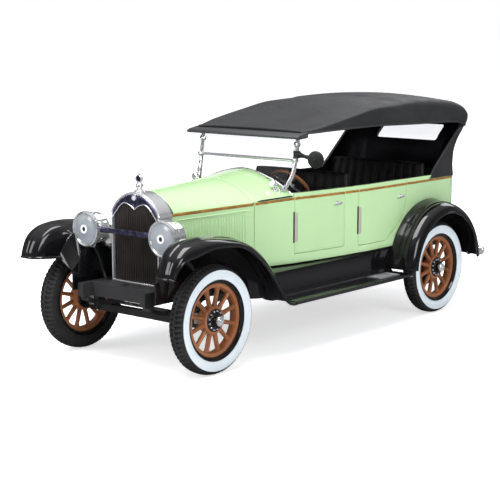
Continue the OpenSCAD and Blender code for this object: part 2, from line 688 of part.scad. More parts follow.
module rear_curtain() {
    rings = [for (z = curtain_zs) let (a = curtain_ring(z, 0), b = curtain_ring(z, top_t))
        [for (p = concat(a, [for (i = [len(b) - 1:-1:0]) b[i]])) [p.x, p.y, top_front_z + z]]];
    color(cloth) difference() {
        skin(rings);
        rear_opening(0);
    }
}

window_z = top_front_z - 13.2;

// The window's hole, square to the sloping rear curtain
module rear_opening(g) {
    along(back_y - 1, back_y + 14) translate([0, window_z + 3.2]) round_rect(rear_window_w - 2 * g, 6.6 - 2 * g, 1);
}

// The pane, which lies in the slope of the rear curtain
module rear_window() {
    color("#cfd8da", 0.5) intersection() {
        rear_opening(gap / 3);
        across(-20, 20) polygon([[curtain_back(-14) - 0.9, window_z - 1], [curtain_back(-14) - 0.3, window_z - 1],
            [curtain_back(-9) + 1.1, window_z + 7], [curtain_back(-9) + 0.5, window_z + 7]]);
    }
}

// ---------- inside ----------

// A seat in side view: cushion and back, with round edges
module seat(y, w, lean) {
    across(-w, w) {
        translate([y + 7.5, 35.5]) round_rect(15, 6, 1.4);
        translate([y + 15.5, 44]) rotate(-lean) round_rect(4, 25, 1.6);
    }
    translate([-w + 1, y + 1.5, floor_z + floor_t]) cube([2 * w - 2, 12, 6]);
}

module front_seat() { color(black) seat(door_y + 15, half(door_y + 15) - door_t - 0.5, 8); }

module rear_seat() { color(black) seat(rear_y - 13, house_x - 0.5, 10); }

column_tilt = 39;
wheel_at = [11, door_y + 12, 52.4];
function up_column(s) = wheel_at - s * [0, cos(column_tilt), sin(column_tilt)];

module steering_column() {
    color(black) bar(up_column((wheel_at.y - cowl_y - 2.2) / cos(column_tilt)), up_column(1.1), 1);
    color(black) bar(up_column(2), up_column(-1), 0.6);
}

module steering_wheel() {
    color(timber) translate(wheel_at) rotate([column_tilt - 90, 0, 0]) {
        rotate_extrude($fn = 72) translate([7.4, 0]) circle(r = 0.6);
        difference() {
            union() {
                translate([0, 0, -0.9]) cylinder(r = 1.5, h = 2.4);
                for (a = [45:90:315]) rotate([0, 90, a]) cylinder(r = 0.4, h = 7.2);
            }
            translate([0, 0, -1.5]) cylinder(r = 0.6 + run_fit, h = 2.6);
        }
    }
}

// ---------- wheels ----------

// Puts a wheel that is drawn about Z, outer face up, at its place
module at_wheel(y, side) {
    mirror([side < 0 ? 1 : 0, 0, 0]) translate([track / 2, y, axle_z]) rotate([0, 90, 0]) children();
}

module tyre() {
    h = tyre_w / 2;
    color(black) rotate_extrude($fn = 96) polygon(concat(
        [[rim_r + 0.02, -h + 0.9], [rim_r + 0.6, -h + 0.2]],
        [for (a = [-90:18:90]) [tyre_r - 1.8 + 1.8 * cos(a), (h - 1.8) * (a < 0 ? -1 : 1) + 1.8 * sin(a)]],
        [[rim_r + 0.6, h - 0.2], [rim_r + 0.02, h - 0.9]]));
}

// Wooden wheel: felloe in its steel rim, spokes, and the hub with its bore and cap
module wheel() {
    felloe_r = rim_r - 1;
    color(timber) {
        difference() {
            cylinder(r = rim_r, h = tyre_w - 2, center = true, $fn = 96);
            cylinder(r = felloe_r - 1.4, h = tyre_w, center = true, $fn = 96);
        }
        for (i = [0:spoke_n - 1]) rotate([0, 90, (i + 0.5) * 360 / spoke_n]) translate([0, 0, 3])
            cylinder(r1 = 0.85, r2 = 0.75, h = felloe_r - 1.4 - 3 + 0.5, $fn = 24);
        difference() {
            union() {
                translate([0, 0, -2.6]) cylinder(r = 3.7, h = 3.9);
                translate([0, 0, 1]) cylinder(r = 1.9, h = 2.2);
                translate([0, 0, 3]) cylinder(r1 = 1.9, r2 = 1.3, h = 0.9);
            }
            translate([0, 0, -3]) cylinder(r = stub_r + run_fit, h = 3 + stub_x - track / 2 + 0.3);
        }
    }
}

module tyre_front_left() { at_wheel(front_y, 1) tyre(); }
module tyre_front_right() { at_wheel(front_y, -1) tyre(); }
module tyre_rear_left() { at_wheel(rear_y, 1) tyre(); }
module tyre_rear_right() { at_wheel(rear_y, -1) tyre(); }
module wheel_front_left() { at_wheel(front_y, 1) wheel(); }
module wheel_front_right() { at_wheel(front_y, -1) wheel(); }
module wheel_rear_left() { at_wheel(rear_y, 1) wheel(); }
module wheel_rear_right() { at_wheel(rear_y, -1) wheel(); }

spare_y = back_y + 7;
spare_z = 2 * tyre_r + 0.9;

module spare_tyre() { translate([0, spare_y, spare_z]) rotate([-90, 0, 0]) tyre(); }

// The rim inside the spare tyre and the bracket that holds it to the body
module spare_carrier() {
    color(black) {
        translate([0, spare_y, spare_z]) rotate([-90, 0, 0]) difference() {
            cylinder(r = rim_r, h = tyre_w - 2, center = true, $fn = 96);
            cylinder(r = rim_r - 1.2, h = tyre_w, center = true, $fn = 96);
        }
        for (a = [30, 150, 270]) bar([0, back_y + 2, spare_z],
            [(rim_r - 0.6) * cos(a), spare_y, spare_z + (rim_r - 0.6) * sin(a)], 0.8);
        bar([0, back_y + 0.1, spare_z], [0, back_y + 4, spare_z], 2.4);
    }
}

translate([0, -mid_y, 0]) {
    body_tub();
    cowl();
    firewall();
    dashboard();
    floor_pan();
    bonnet_sides();
    bonnet_hinge();
    radiator_shell();
    radiator_core();
    radiator_cap();
    headlamps();
    headlamp_lenses();
    headlamp_bar();
    cowl_lamps();
    front_fenders();
    rear_fenders();
    running_boards();
    step_plates();
    chassis();
    springs();
    front_axle();
    rear_axle();
    exhaust();
    engine_block();
    windscreen_frame();
    windscreen_glass();
    sun_visor();
    side_mirror();
    top();
    rear_curtain();
    rear_window();
    front_seat();
    rear_seat();
    steering_column();
    tail_lamps();
    spare_tyre();
    spare_carrier();
    bonnet_leaf_left();
    bonnet_leaf_right();
    front_door_left();
    front_door_right();
    rear_door_left();
    rear_door_right();
    knuckle_left();
    knuckle_right();
    tie_rod();
    steering_wheel();
    tyre_front_left();
    tyre_front_right();
    tyre_rear_left();
    tyre_rear_right();
    wheel_front_left();
    wheel_front_right();
    wheel_rear_left();
    wheel_rear_right();
}
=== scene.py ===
import bpy
import bmesh
from math import sin, cos, acos, atan2, pi, radians, sqrt, floor
from mathutils import Vector, Matrix


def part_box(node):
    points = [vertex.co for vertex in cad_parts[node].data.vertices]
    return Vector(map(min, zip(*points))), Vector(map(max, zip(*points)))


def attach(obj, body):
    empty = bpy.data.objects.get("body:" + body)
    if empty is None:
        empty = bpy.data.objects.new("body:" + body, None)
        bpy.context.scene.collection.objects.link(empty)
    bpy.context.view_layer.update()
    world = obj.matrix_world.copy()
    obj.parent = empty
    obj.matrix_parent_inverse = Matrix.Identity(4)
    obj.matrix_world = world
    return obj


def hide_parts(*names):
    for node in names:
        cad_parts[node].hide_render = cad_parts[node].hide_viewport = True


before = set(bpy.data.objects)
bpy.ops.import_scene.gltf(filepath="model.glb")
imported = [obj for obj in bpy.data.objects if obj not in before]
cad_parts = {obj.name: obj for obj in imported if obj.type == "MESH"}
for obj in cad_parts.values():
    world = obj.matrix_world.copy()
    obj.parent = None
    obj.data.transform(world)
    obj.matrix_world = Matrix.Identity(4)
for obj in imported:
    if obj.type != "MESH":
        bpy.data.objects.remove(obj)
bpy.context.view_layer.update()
print("frame loaded")

# Everything below is worked out in millimetres and turned to metres when a piece is added
mm = 0.001


def middle(node):
    low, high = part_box(node)
    return (low + high) / 2 / mm


frontY, rearY = middle("tyre_front_left").y, middle("tyre_rear_left").y
axleZ, trackHalf = middle("tyre_rear_left").z, middle("tyre_rear_left").x

# Places along the car, from its axles
hoodY = frontY + 2.5
radiatorY = frontY - 4.1
cowlY = frontY + 34.1
doorY = frontY + 50.5
postY = doorY + 24.8
hingeY = rearY - 44.2
backY = rearY + 22.5

# ---------- camera, light and floor ----------

cameraSet = {"place": (0.314464, -0.388245, 0.1091), "azimuth": 40.187, "elevation": 9.247, "lens": 100.43}
cameraData = bpy.data.cameras.new("camera")
camera = bpy.data.objects.new("camera", cameraData)
bpy.context.scene.collection.objects.link(camera)
azimuth, elevation = radians(cameraSet["azimuth"]), radians(cameraSet["elevation"])
looking = Vector((-sin(azimuth) * cos(elevation), cos(azimuth) * cos(elevation), -sin(elevation)))
camera.location = cameraSet["place"]
camera.rotation_mode = "QUATERNION"
camera.rotation_quaternion = looking.to_track_quat("-Z", "Y")
cameraData.lens, cameraData.sensor_width = cameraSet["lens"], 36
cameraData.clip_start, cameraData.clip_end = 0.02, 20
bpy.context.scene.camera = camera
bpy.context.scene.view_settings.view_transform = "Standard"

softboxes = {
    "overhead": {"place": (0.04, -0.10, 0.60), "target": (0, 0, 0.03), "size": (0.30, 0.50), "power": 4.1},
    "frontLeft": {"place": (0.75, -0.30, 0.40), "target": (0, 0, 0.03), "size": (0.25, 0.40), "power": 2.2},
    "nose": {"place": (-0.30, -0.75, 0.40), "target": (0, -0.05, 0.03), "size": (0.25, 0.35), "power": 1.6},
    "back": {"place": (-0.20, 0.80, 0.50), "target": (0, 0.05, 0.04), "size": (0.5, 0.3), "power": 1.2},
}
for name, box in softboxes.items():
    data = bpy.data.lights.new(name, "AREA")
    data.shape, data.energy = "RECTANGLE", box["power"]
    data.size, data.size_y = box["size"]
    lamp = bpy.data.objects.new(name, data)
    lamp.location = box["place"]
    lamp.rotation_mode = "QUATERNION"
    lamp.rotation_quaternion = (Vector(box["target"]) - Vector(box["place"])).to_track_quat("-Z", "Y")
    bpy.context.scene.collection.objects.link(lamp)


def newNode(tree, kind, inputs=None, **settings):
    # A shader node, whose inputs are given as values or as other nodes' outputs
    node = tree.nodes.new("ShaderNode" + kind)
    for key, value in settings.items():
        setattr(node, key, value)
    for key, value in (inputs or {}).items():
        if isinstance(value, bpy.types.NodeSocket):
            tree.links.new(value, node.inputs[key])
        else:
            node.inputs[key].default_value = value
    return node


world = bpy.data.worlds.new("studio")
bpy.context.scene.world = world
world.use_nodes = True
sky = world.node_tree
sky.nodes.clear()
rays = newNode(sky, "LightPath").outputs
seen = newNode(sky, "Background", {"Color": (1, 1, 1, 1), "Strength": 1.0})
fill = newNode(sky, "Background", {"Color": (0.93, 0.96, 1, 1), "Strength": 0.50})
# Reflections see a brighter band above the horizon
heading = newNode(sky, "TexCoord").outputs["Generated"]
band = newNode(sky, "ValToRGB", {0: newNode(sky, "SeparateXYZ", {0: heading}).outputs["Z"]})
ramp = band.color_ramp.elements
ramp[0].color = (0.05, 0.05, 0.0515, 1)
for at, level in ((0.12, 0.26), (0.45, 0.13)):
    ramp.new(at).color = (level, level, level * 1.03, 1)
glint = newNode(sky, "Background", {"Color": band.outputs[0], "Strength": 0.85})
dimmer = newNode(sky, "MixShader", {0: rays["Is Glossy Ray"], 1: fill.outputs[0], 2: glint.outputs[0]})
# The white surround is for what is seen in the open or through a pane
through = newNode(sky, "Math", {0: rays["Is Camera Ray"], 1: rays["Is Transmission Ray"]},
    operation="MAXIMUM")
choose = newNode(sky, "MixShader", {0: through.outputs[0], 1: dimmer.outputs[0], 2: seen.outputs[0]})
newNode(sky, "OutputWorld", {0: choose.outputs[0]})
print("camera and light set")

# ---------- shader groups ----------


def makeGroup(name, inputs, outputs):
    tree = bpy.data.node_groups.new(name, "ShaderNodeTree")
    for label, kind, value in inputs:
        tree.interface.new_socket(label, in_out="INPUT",
            socket_type="NodeSocket" + kind).default_value = value
    for label, kind in outputs:
        tree.interface.new_socket(label, in_out="OUTPUT", socket_type="NodeSocket" + kind)
    return tree, tree.nodes.new("NodeGroupInput").outputs, tree.nodes.new("NodeGroupOutput").inputs


def stretchedNoise(tree, given, detail):
    where = newNode(tree, "TexCoord").outputs["Object"]
    pull = newNode(tree, "VectorMath", {0: where, 1: given["Stretch"]}, operation="MULTIPLY")
    noise = newNode(tree, "TexNoise", {"Vector": pull.outputs[0], "Scale": given["Scale"], "Detail": detail})
    return noise.outputs["Fac"]


def spread(tree, value, low, high, fromLow=0.35, fromHigh=0.65):
    return newNode(tree, "MapRange", {"Value": value, "From Min": fromLow, "From Max": fromHigh,
        "To Min": low, "To Max": high}).outputs[0]


def blended(tree, mask, first, second):
    return newNode(tree, "Mix", {"Factor": mask, 6: first, 7: second}, data_type="RGBA").outputs[2]


def makeTone():
    tree, given, made = makeGroup("tone",
        [("First", "Color", (1, 1, 1, 1)), ("Second", "Color", (0, 0, 0, 1)), ("Scale", "Float", 20.0),
        ("Stretch", "Vector", (1, 1, 1))], [("Colour", "Color")])
    mask = spread(tree, stretchedNoise(tree, given, 5.0), 0.0, 1.0)
    tree.links.new(blended(tree, mask, given["First"], given["Second"]), made["Colour"])
    return tree


def makePolish():
    tree, given, made = makeGroup("polish", [("Low", "Float", 0.2), ("High", "Float", 0.4),
                                             ("Scale", "Float", 60.0), ("Stretch", "Vector", (1, 1, 1))],
                                  [("Roughness", "Float")])
    tree.links.new(spread(tree, stretchedNoise(tree, given, 4.0), given["Low"], given["High"]),
        made["Roughness"])
    return tree


def makeRelief():
    tree, given, made = makeGroup("relief", [("Scale", "Float", 900.0), ("Depth", "Float", 0.00002),
                                             ("Stretch", "Vector", (1, 1, 1))], [("Normal", "Vector")])
    bump = newNode(tree, "Bump", {"Height": stretchedNoise(tree, given, 3.0), "Distance": given["Depth"]})
    tree.links.new(bump.outputs[0], made["Normal"])
    return tree


def makeEdgeLightAndShade():
    # Painted highlight where edges stand proud and painted shade in corners and hollows, from the surface's
    # pointiness
    tree, given, made = makeGroup("edgeLightAndShade",
        [("Colour", "Color", (1, 1, 1, 1)), ("Worn", "Color", (1, 1, 1, 1)), ("Grime", "Color", (0, 0, 0, 1)),
        ("Amount", "Float", 0.3)], [("Colour", "Color")])
    shape = newNode(tree, "NewGeometry").outputs["Pointiness"]
    colour = given["Colour"]
    for low, high, tint in ((0.53, 0.62, "Worn"), (0.47, 0.40, "Grime")):
        colour = blended(tree, spread(tree, shape, 0.0, given["Amount"], low, high), colour, given[tint])
    tree.links.new(colour, made["Colour"])
    return tree


toneGroup, polishGroup, reliefGroup, edgeGroup = makeTone(), makePolish(), makeRelief(), makeEdgeLightAndShade()


def place(tree, group, **values):
    node = newNode(tree, "Group", node_tree=group)
    for label, value in values.items():
        node.inputs[label].default_value = (*value, 1) if node.inputs[label].type == "RGBA" else value
    return node


def makeLook(name, first, second, rough, scale=25.0, stretch=(1, 1, 1), relief=(900.0, 0.00001), edge=None,
        **sockets):
    material = bpy.data.materials.new(name)
    material.use_nodes = True
    tree = material.node_tree
    shader = tree.nodes["Principled BSDF"]
    tone = place(tree, toneGroup, First=first, Second=second, Scale=scale, Stretch=stretch)
    polish = place(tree, polishGroup, Low=rough[0], High=rough[1], Scale=scale * 3, Stretch=stretch)
    normal = place(tree, reliefGroup, Scale=relief[0], Depth=relief[1], Stretch=stretch)
    colour = tone.outputs["Colour"]
    # Painted highlight on proud edges and painted shade in hollows, from the look's edge colours
    if edge:
        edgeShading = place(tree, edgeGroup, Worn=edge[0], Grime=edge[1], Amount=edge[2])
        tree.links.new(colour, edgeShading.inputs["Colour"])
        colour = edgeShading.outputs["Colour"]
    tree.links.new(colour, shader.inputs["Base Color"])
    tree.links.new(polish.outputs[0], shader.inputs["Roughness"])
    tree.links.new(normal.outputs[0], shader.inputs["Normal"])
    for label, value in sockets.items():
        shader.inputs[label.replace("_", " ")].default_value = value
    return material


# Near-black painted shade, used as the hollow colour of the dark looks
dark = (0.002, 0.002, 0.002)
# A look's edge entry: painted highlight colour on proud edges, painted shade colour in corners and hollows,
# and how strong they are
looks = {
    "mint": makeLook("mintEnamel", (0.50, 0.742, 0.385), (0.512, 0.752, 0.40), (0.24, 0.27), scale=90,
        relief=(700, 4e-6), edge=((0.62, 0.84, 0.52), (0.16, 0.33, 0.09), 0.55), Coat_Weight=0.9,
        Coat_Roughness=0.05),
    "gloss": makeLook("blackEnamel", (0.0035, 0.0035, 0.0042), (0.007, 0.0065, 0.008), (0.16, 0.24), scale=40,
        relief=(600, 5e-6), edge=((0.02, 0.02, 0.022), dark, 0.4), Coat_Weight=0.8, Coat_Roughness=0.04,
        Specular_IOR_Level=0.1),
    "satin": makeLook("satinBlack", (0.007, 0.007, 0.008), (0.014, 0.014, 0.015), (0.42, 0.58), scale=90,
        relief=(1800, 1.2e-5), edge=((0.05, 0.05, 0.052), dark, 0.4)),
    "cloth": makeLook("mouldedCloth", (0.021, 0.0215, 0.023), (0.030, 0.031, 0.033), (0.50, 0.62), scale=60,
        relief=(2600, 3.0e-5), edge=((0.075, 0.076, 0.08), (0.012, 0.012, 0.013), 0.5),
        Specular_IOR_Level=0.42),
    "lining": makeLook("topLining", (0.006, 0.005, 0.008), (0.013, 0.010, 0.017), (0.45, 0.60), scale=70,
        relief=(2200, 1.5e-5), Specular_IOR_Level=0.3),
    "chrome": makeLook("chromePlate", (0.86, 0.87, 0.89), (0.93, 0.94, 0.95), (0.05, 0.12), scale=120,
        relief=(500, 6e-6), edge=((0.97, 0.97, 0.99), (0.16, 0.16, 0.19), 0.7), Metallic=0.82),
    "navy": makeLook("darkPlate", (0.040, 0.037, 0.085), (0.15, 0.15, 0.27), (0.22, 0.40), scale=650,
        relief=(900, 2.5e-5), edge=((0.4, 0.4, 0.5), (0.01, 0.01, 0.02), 0.4), Metallic=1.0),
    "core": makeLook("radiatorBlack", (0.010, 0.007, 0.006), (0.026, 0.019, 0.016), (0.35, 0.55), scale=200,
        relief=(1500, 1.5e-5), edge=((0.07, 0.055, 0.05), dark, 0.7)),
    "lens": makeLook("lampLens", (0.25, 0.28, 0.32), (0.42, 0.44, 0.46), (0.10, 0.22), scale=110,
        relief=(900, 1.2e-5), Coat_Weight=0.8, Coat_Roughness=0.03),
    "bulb": makeLook("bulbWhite", (0.86, 0.87, 0.90), (0.95, 0.95, 0.97), (0.15, 0.25), scale=200),
    "red": makeLook("tailRed", (0.30, 0.008, 0.006), (0.42, 0.015, 0.012), (0.10, 0.18), scale=200,
        relief=(1500, 1e-5), Coat_Weight=0.9),
    "pane": makeLook("clearPane", (0.80, 0.80, 0.815), (0.84, 0.84, 0.855), (0.015, 0.05), scale=40,
        relief=(60, 6e-6), IOR=1.35, Transmission_Weight=1.0),
    "rubber": makeLook("tyreRubber", (0.012, 0.012, 0.012), (0.024, 0.023, 0.022), (0.55, 0.75), scale=150,
        relief=(2400, 2e-5), edge=((0.05, 0.05, 0.048), dark, 0.5)),
    "whitewall": makeLook("whiteRubber", (0.62, 0.69, 0.74), (0.70, 0.76, 0.80), (0.45, 0.58), scale=80,
        relief=(1600, 1e-5), edge=((0.75, 0.8, 0.83), (0.35, 0.40, 0.44), 0.4)),
    "wood": makeLook("woodBrown", (0.20, 0.066, 0.020), (0.33, 0.115, 0.038), (0.34, 0.50), scale=160,
        stretch=(1.0, 0.35, 1.0), relief=(1400, 1.8e-5), edge=((0.44, 0.17, 0.07), (0.05, 0.014, 0.004), 0.7),
        Coat_Weight=0.25, Coat_Roughness=0.25),
    "line": makeLook("coachLine", (0.26, 0.105, 0.012), (0.42, 0.20, 0.026), (0.28, 0.40), scale=420,
        relief=(800, 1e-5), Coat_Weight=0.5, Coat_Roughness=0.1),
    "hinge": makeLook("hingeSteel", (0.42, 0.40, 0.33), (0.55, 0.53, 0.46), (0.40, 0.55), scale=300,
        stretch=(1, 1, 0.2), relief=(1600, 1.5e-5), edge=((0.7, 0.68, 0.62), (0.06, 0.055, 0.045), 0.5),
        Metallic=0.35),
    "steel": makeLook("bareSteel", (0.34, 0.32, 0.27), (0.52, 0.49, 0.43), (0.32, 0.50), scale=300,
        stretch=(1, 1, 0.2), relief=(1600, 1.5e-5), edge=((0.7, 0.68, 0.62), (0.05, 0.045, 0.035), 0.6),
        Metallic=1.0),
    "cast": makeLook("castGrey", (0.13, 0.13, 0.135), (0.20, 0.20, 0.205), (0.45, 0.62), scale=180,
        relief=(1500, 3e-5), edge=((0.4, 0.4, 0.4), (0.02, 0.02, 0.02), 0.5), Metallic=0.7),
    "leather": makeLook("seatBlack", (0.004, 0.004, 0.0045), (0.008, 0.0075, 0.008), (0.42, 0.56), scale=120,
        relief=(1900, 2.2e-5), edge=((0.018, 0.018, 0.019), dark, 0.5), Specular_IOR_Level=0.25),
    "enamel": makeLook("badgeEnamel", (0.55, 0.64, 0.78), (0.70, 0.77, 0.88), (0.12, 0.2), scale=300,
        Coat_Weight=0.8),
    # Near-black painted shadow, for slots and gaps where shade falls
    "shadow": makeLook("paintedShadowBlack", (0.003, 0.004, 0.002), (0.008, 0.010, 0.006), (0.5, 0.7), scale=200),
}

floorLook = bpy.data.materials.new("paleFloor")
floorLook.use_nodes = True
floorTree = floorLook.node_tree
floorShader = floorTree.nodes["Principled BSDF"]
floorTone = place(floorTree, toneGroup, First=(0.90, 0.90, 0.905), Second=(0.925, 0.925, 0.93), Scale=2.0)
floorRays = newNode(floorTree, "LightPath").outputs
plain, mirror, pane = (floorRays[f"Is {kind} Ray"] for kind in ("Camera", "Glossy", "Transmission"))
# In the open or through a pane the floor glows a little, so it stays white away from the lights
floorSeen = newNode(floorTree, "Math", {0: plain, 1: pane}, operation="MAXIMUM")
floorGlow = newNode(floorTree, "Math", {0: floorSeen.outputs[0], 1: 0.60}, operation="MULTIPLY")
for label, value in (("Roughness", 0.8), ("Specular IOR Level", 0.1), ("Emission Color", (1, 1, 1, 1))):
    floorShader.inputs[label].default_value = value
floorTree.links.new(floorTone.outputs["Colour"], floorShader.inputs["Base Color"])
floorTree.links.new(floorGlow.outputs[0], floorShader.inputs["Emission Strength"])
# Mirrored in the paint it is dim
floorDim = newNode(floorTree, "Math", {0: mirror, 1: pane}, operation="SUBTRACT", use_clamp=True)
dimFloor = newNode(floorTree, "BsdfDiffuse", {"Color": (0.20, 0.20, 0.205, 1)})
floorMix = newNode(floorTree, "MixShader", {0: floorDim.outputs[0], 1: floorShader.outputs[0],
    2: dimFloor.outputs[0]})
floorTree.links.new(floorMix.outputs[0], floorTree.nodes["Material Output"].inputs[0])
floorMesh = bpy.data.meshes.new("floor")
floorBuild = bmesh.new()
bmesh.ops.create_circle(floorBuild, cap_ends=True, segments=96, radius=8.0)
floorBuild.to_mesh(floorMesh)
floorBuild.free()
stageFloor = bpy.data.objects.new("floor", floorMesh)
floorMesh.materials.append(floorLook)
bpy.context.scene.collection.objects.link(stageFloor)
print("looks made")

# ---------- modelling helpers ----------


def facesOut(build, away=None):
    bmesh.ops.remove_doubles(build, verts=build.verts, dist=0.0005)
    if away is None:
        bmesh.ops.recalc_face_normals(build, faces=build.faces)
        return build
    build.normal_update()
    away = Vector(away)
    if sum(f.normal.dot(f.calc_center_median() - away) * f.calc_area() for f in build.faces) < 0:
        bmesh.ops.reverse_faces(build, faces=build.faces)
    return build


def evenly(a, b, steps):
    return [a + (b - a) * i / steps for i in range(steps + 1)]


def surface(shape, across, along, away=None):
    # A grid whose corners (0, 0) to (1, 1) are put in place by shape(u, v)
    build = bmesh.new()
    bmesh.ops.create_grid(build, x_segments=across, y_segments=along, size=0.5)
    for v in build.verts:
        v.co = shape(v.co.x + 0.5, v.co.y + 0.5)
    return facesOut(build, away)


def turned(profile, segments=64):
    # A profile of (radius, height) points turned about Z
    build = bmesh.new()
    verts = [build.verts.new((r, 0, h)) for r, h in profile]
    edges = [build.edges.new(pair) for pair in zip(verts, verts[1:])]
    bmesh.ops.spin(build, geom=verts + edges, cent=(0, 0, 0), axis=(0, 0, 1), angle=2 * pi, steps=segments,
                   use_merge=True)
    return facesOut(build)


def rod(points, radius, sides=5, closed=False):
    curve = bpy.data.curves.new("rod", "CURVE")
    curve.dimensions, curve.bevel_depth, curve.bevel_resolution, curve.use_fill_caps = "3D", 1.0, sides, True
    spline = curve.splines.new("POLY")
    spline.points.add(len(points) - 1)
    spline.use_cyclic_u = closed
    for i, (point, co) in enumerate(zip(spline.points, points)):
        point.co = (*co, 1)
        point.radius = radius[i] if isinstance(radius, list) else radius
    holder = bpy.data.objects.new("rod", curve)
    mesh = bpy.data.meshes.new_from_object(holder)
    build = bmesh.new()
    build.from_mesh(mesh)
    bpy.data.objects.remove(holder)
    bpy.data.curves.remove(curve)
    bpy.data.meshes.remove(mesh)
    return facesOut(build)


def block(low, high, bevel=0.2, segments=2):
    build = bmesh.new()
    bmesh.ops.create_cube(build, size=1)
    low, high = Vector(low), Vector(high)
    bmesh.ops.scale(build, vec=high - low, verts=build.verts)
    bmesh.ops.translate(build, vec=(low + high) / 2, verts=build.verts)
    if bevel:
        bmesh.ops.bevel(build, geom=build.edges[:], offset=bevel, segments=segments, affect="EDGES",
            profile=0.5, material=-1)
    return build


def prism(outline, x0, x1, bevel=0):
    # A side-view outline (y, z) made solid from x0 to x1
    build = bmesh.new()
    face = build.faces.new([build.verts.new((x0, y, z)) for y, z in outline])
    moved = bmesh.ops.extrude_face_region(build, geom=[face])["geom"]
    bmesh.ops.translate(build, vec=(x1 - x0, 0, 0),
        verts=[g for g in moved if isinstance(g, bmesh.types.BMVert)])
    facesOut(build)
    if bevel:
        bmesh.ops.bevel(build, geom=build.edges[:], offset=bevel, segments=2, affect="EDGES", profile=0.5,
                        material=-1, clamp_overlap=True)
    return build


def moved(build, matrix):
    bmesh.ops.transform(build, matrix=matrix, verts=build.verts)
    return build


def shifted(build, by):
    return moved(build, Matrix.Translation(by))


def pointing(build, where, direction):
    # A shape drawn about Z, turned to face the direction and put in place
    turn = Vector((0, 0, 1)).rotation_difference(Vector(direction)).to_matrix().to_4x4()
    return moved(build, Matrix.Translation(where) @ turn)


def painted(build, index):
    for f in build.faces:
        f.material_index = index
    return build


def joined(*parts):
    whole = bmesh.new()
    for part in parts:
        mesh = bpy.data.meshes.new("part")
        part.to_mesh(mesh)
        part.free()
        whole.from_mesh(mesh)
        bpy.data.meshes.remove(mesh)
    return whole


def mirrored(build):
    # The shape and its mirror image on the car's other side
    mesh = bpy.data.meshes.new("half")
    build.to_mesh(mesh)
    other = bmesh.new()
    other.from_mesh(mesh)
    bpy.data.meshes.remove(mesh)
    bmesh.ops.scale(other, vec=(-1, 1, 1), verts=other.verts)
    bmesh.ops.reverse_faces(other, faces=other.faces)
    return other


def bothSides(build):
    return joined(mirrored(build), build)


def asObject(name, build):
    bmesh.ops.scale(build, vec=(mm, mm, mm), verts=build.verts)
    mesh = bpy.data.meshes.new(name)
    build.to_mesh(mesh)
    build.free()
    piece = bpy.data.objects.new(name, mesh)
    bpy.context.scene.collection.objects.link(piece)
    return piece


def addPiece(name, build, look, body="root", replaces=(), wall=0, bevel=0, cuts=(), keep=None,
        angle=35, inner=0, even=True):
    piece = asObject(name, build)
    names = [look] if isinstance(look, str) else look
    for key in names:
        piece.data.materials.append(looks[key])
    if wall:
        solid = piece.modifiers.new("wall", "SOLIDIFY")
        solid.thickness, solid.offset, solid.use_even_offset = wall * mm, -1, even
        solid.material_offset = inner
    cutters = []
    for kind, shapes in (("DIFFERENCE", cuts), ("INTERSECT", keep or ())):
        for shape in shapes:
            cutters.append(asObject("cutter", shape))
            cut = piece.modifiers.new("cut", "BOOLEAN")
            cut.operation, cut.object, cut.solver = kind, cutters[-1], "EXACT"
    if bevel:
        edge = piece.modifiers.new("edge", "BEVEL")
        edge.width, edge.segments, edge.limit_method, edge.angle_limit = bevel * mm, 2, "ANGLE", radians(40)
    if piece.modifiers:
        graph = bpy.context.evaluated_depsgraph_get()
        final = bpy.data.meshes.new_from_object(piece.evaluated_get(graph))
        piece.modifiers.clear()
        piece.data = final
    for cutter in cutters:
        bpy.data.objects.remove(cutter)
    for face in piece.data.polygons:
        face.use_smooth = True
    piece.data.set_sharp_from_angle(angle=radians(angle))
    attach(piece, body)
    if replaces:
        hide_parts(*([replaces] if isinstance(replaces, str) else replaces))
    return piece


def cadCopy(name, node, look, bevel):
    build = bmesh.new()
    build.from_mesh(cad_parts[node].data)
    bmesh.ops.scale(build, vec=(1 / mm,) * 3, verts=build.verts)
    bmesh.ops.remove_doubles(build, verts=build.verts, dist=0.001)
    bmesh.ops.dissolve_limit(build, angle_limit=radians(1), verts=build.verts, edges=build.edges)
    return addPiece(name, painted(build, 0), look, replaces=node, bevel=bevel)


def follow(table, y):
    # Smooth values at y through rows of (place, value, ...)
    if y <= table[0][0] or y >= table[-1][0]:
        row = table[0] if y <= table[0][0] else table[-1]
        return row[1] if len(row) == 2 else row[1:]
    i = max(k for k in range(len(table) - 1) if table[k][0] <= y)
    made = []
    for column in range(1, len(table[0])):
        steps = [(b[column] - a[column]) / (b[0] - a[0]) for a, b in zip(table, table[1:])]

        def slope(k):
            if k == 0 or k == len(table) - 1:
                return steps[0 if k == 0 else -1]
            a, b = steps[k - 1], steps[k]
            return 2 * a * b / (a + b) if a * b > 0 else 0
        width = table[i + 1][0] - table[i][0]
        t = (y - table[i][0]) / width
        start, end = table[i][column], table[i + 1][column]
        made.append((2 * t ** 3 - 3 * t ** 2 + 1) * start + (t ** 3 - 2 * t ** 2 + t) * width * slope(i)
                    + (3 * t ** 2 - 2 * t ** 3) * end + (t ** 3 - t ** 2) * width * slope(i + 1))
    return made[0] if len(made) == 1 else made


def smoothLine(points, steps=6):
    # More points on a smooth line through the given ones
    made = []
    points = [Vector(p) for p in points]
    for i in range(len(points) - 1):
        a, b, c, d = (points[min(max(k, 0), len(points) - 1)] for k in (i - 1, i, i + 1, i + 2))
        for s in range(steps):
            t = s / steps
            made.append(0.5 * ((2 * b) + (c - a) * t + (2 * a - 5 * b + 4 * c - d) * t * t
                               + (3 * b - a - 3 * c + d) * t ** 3))
    return made + [points[-1]]


# ---------- shape of the body ----------

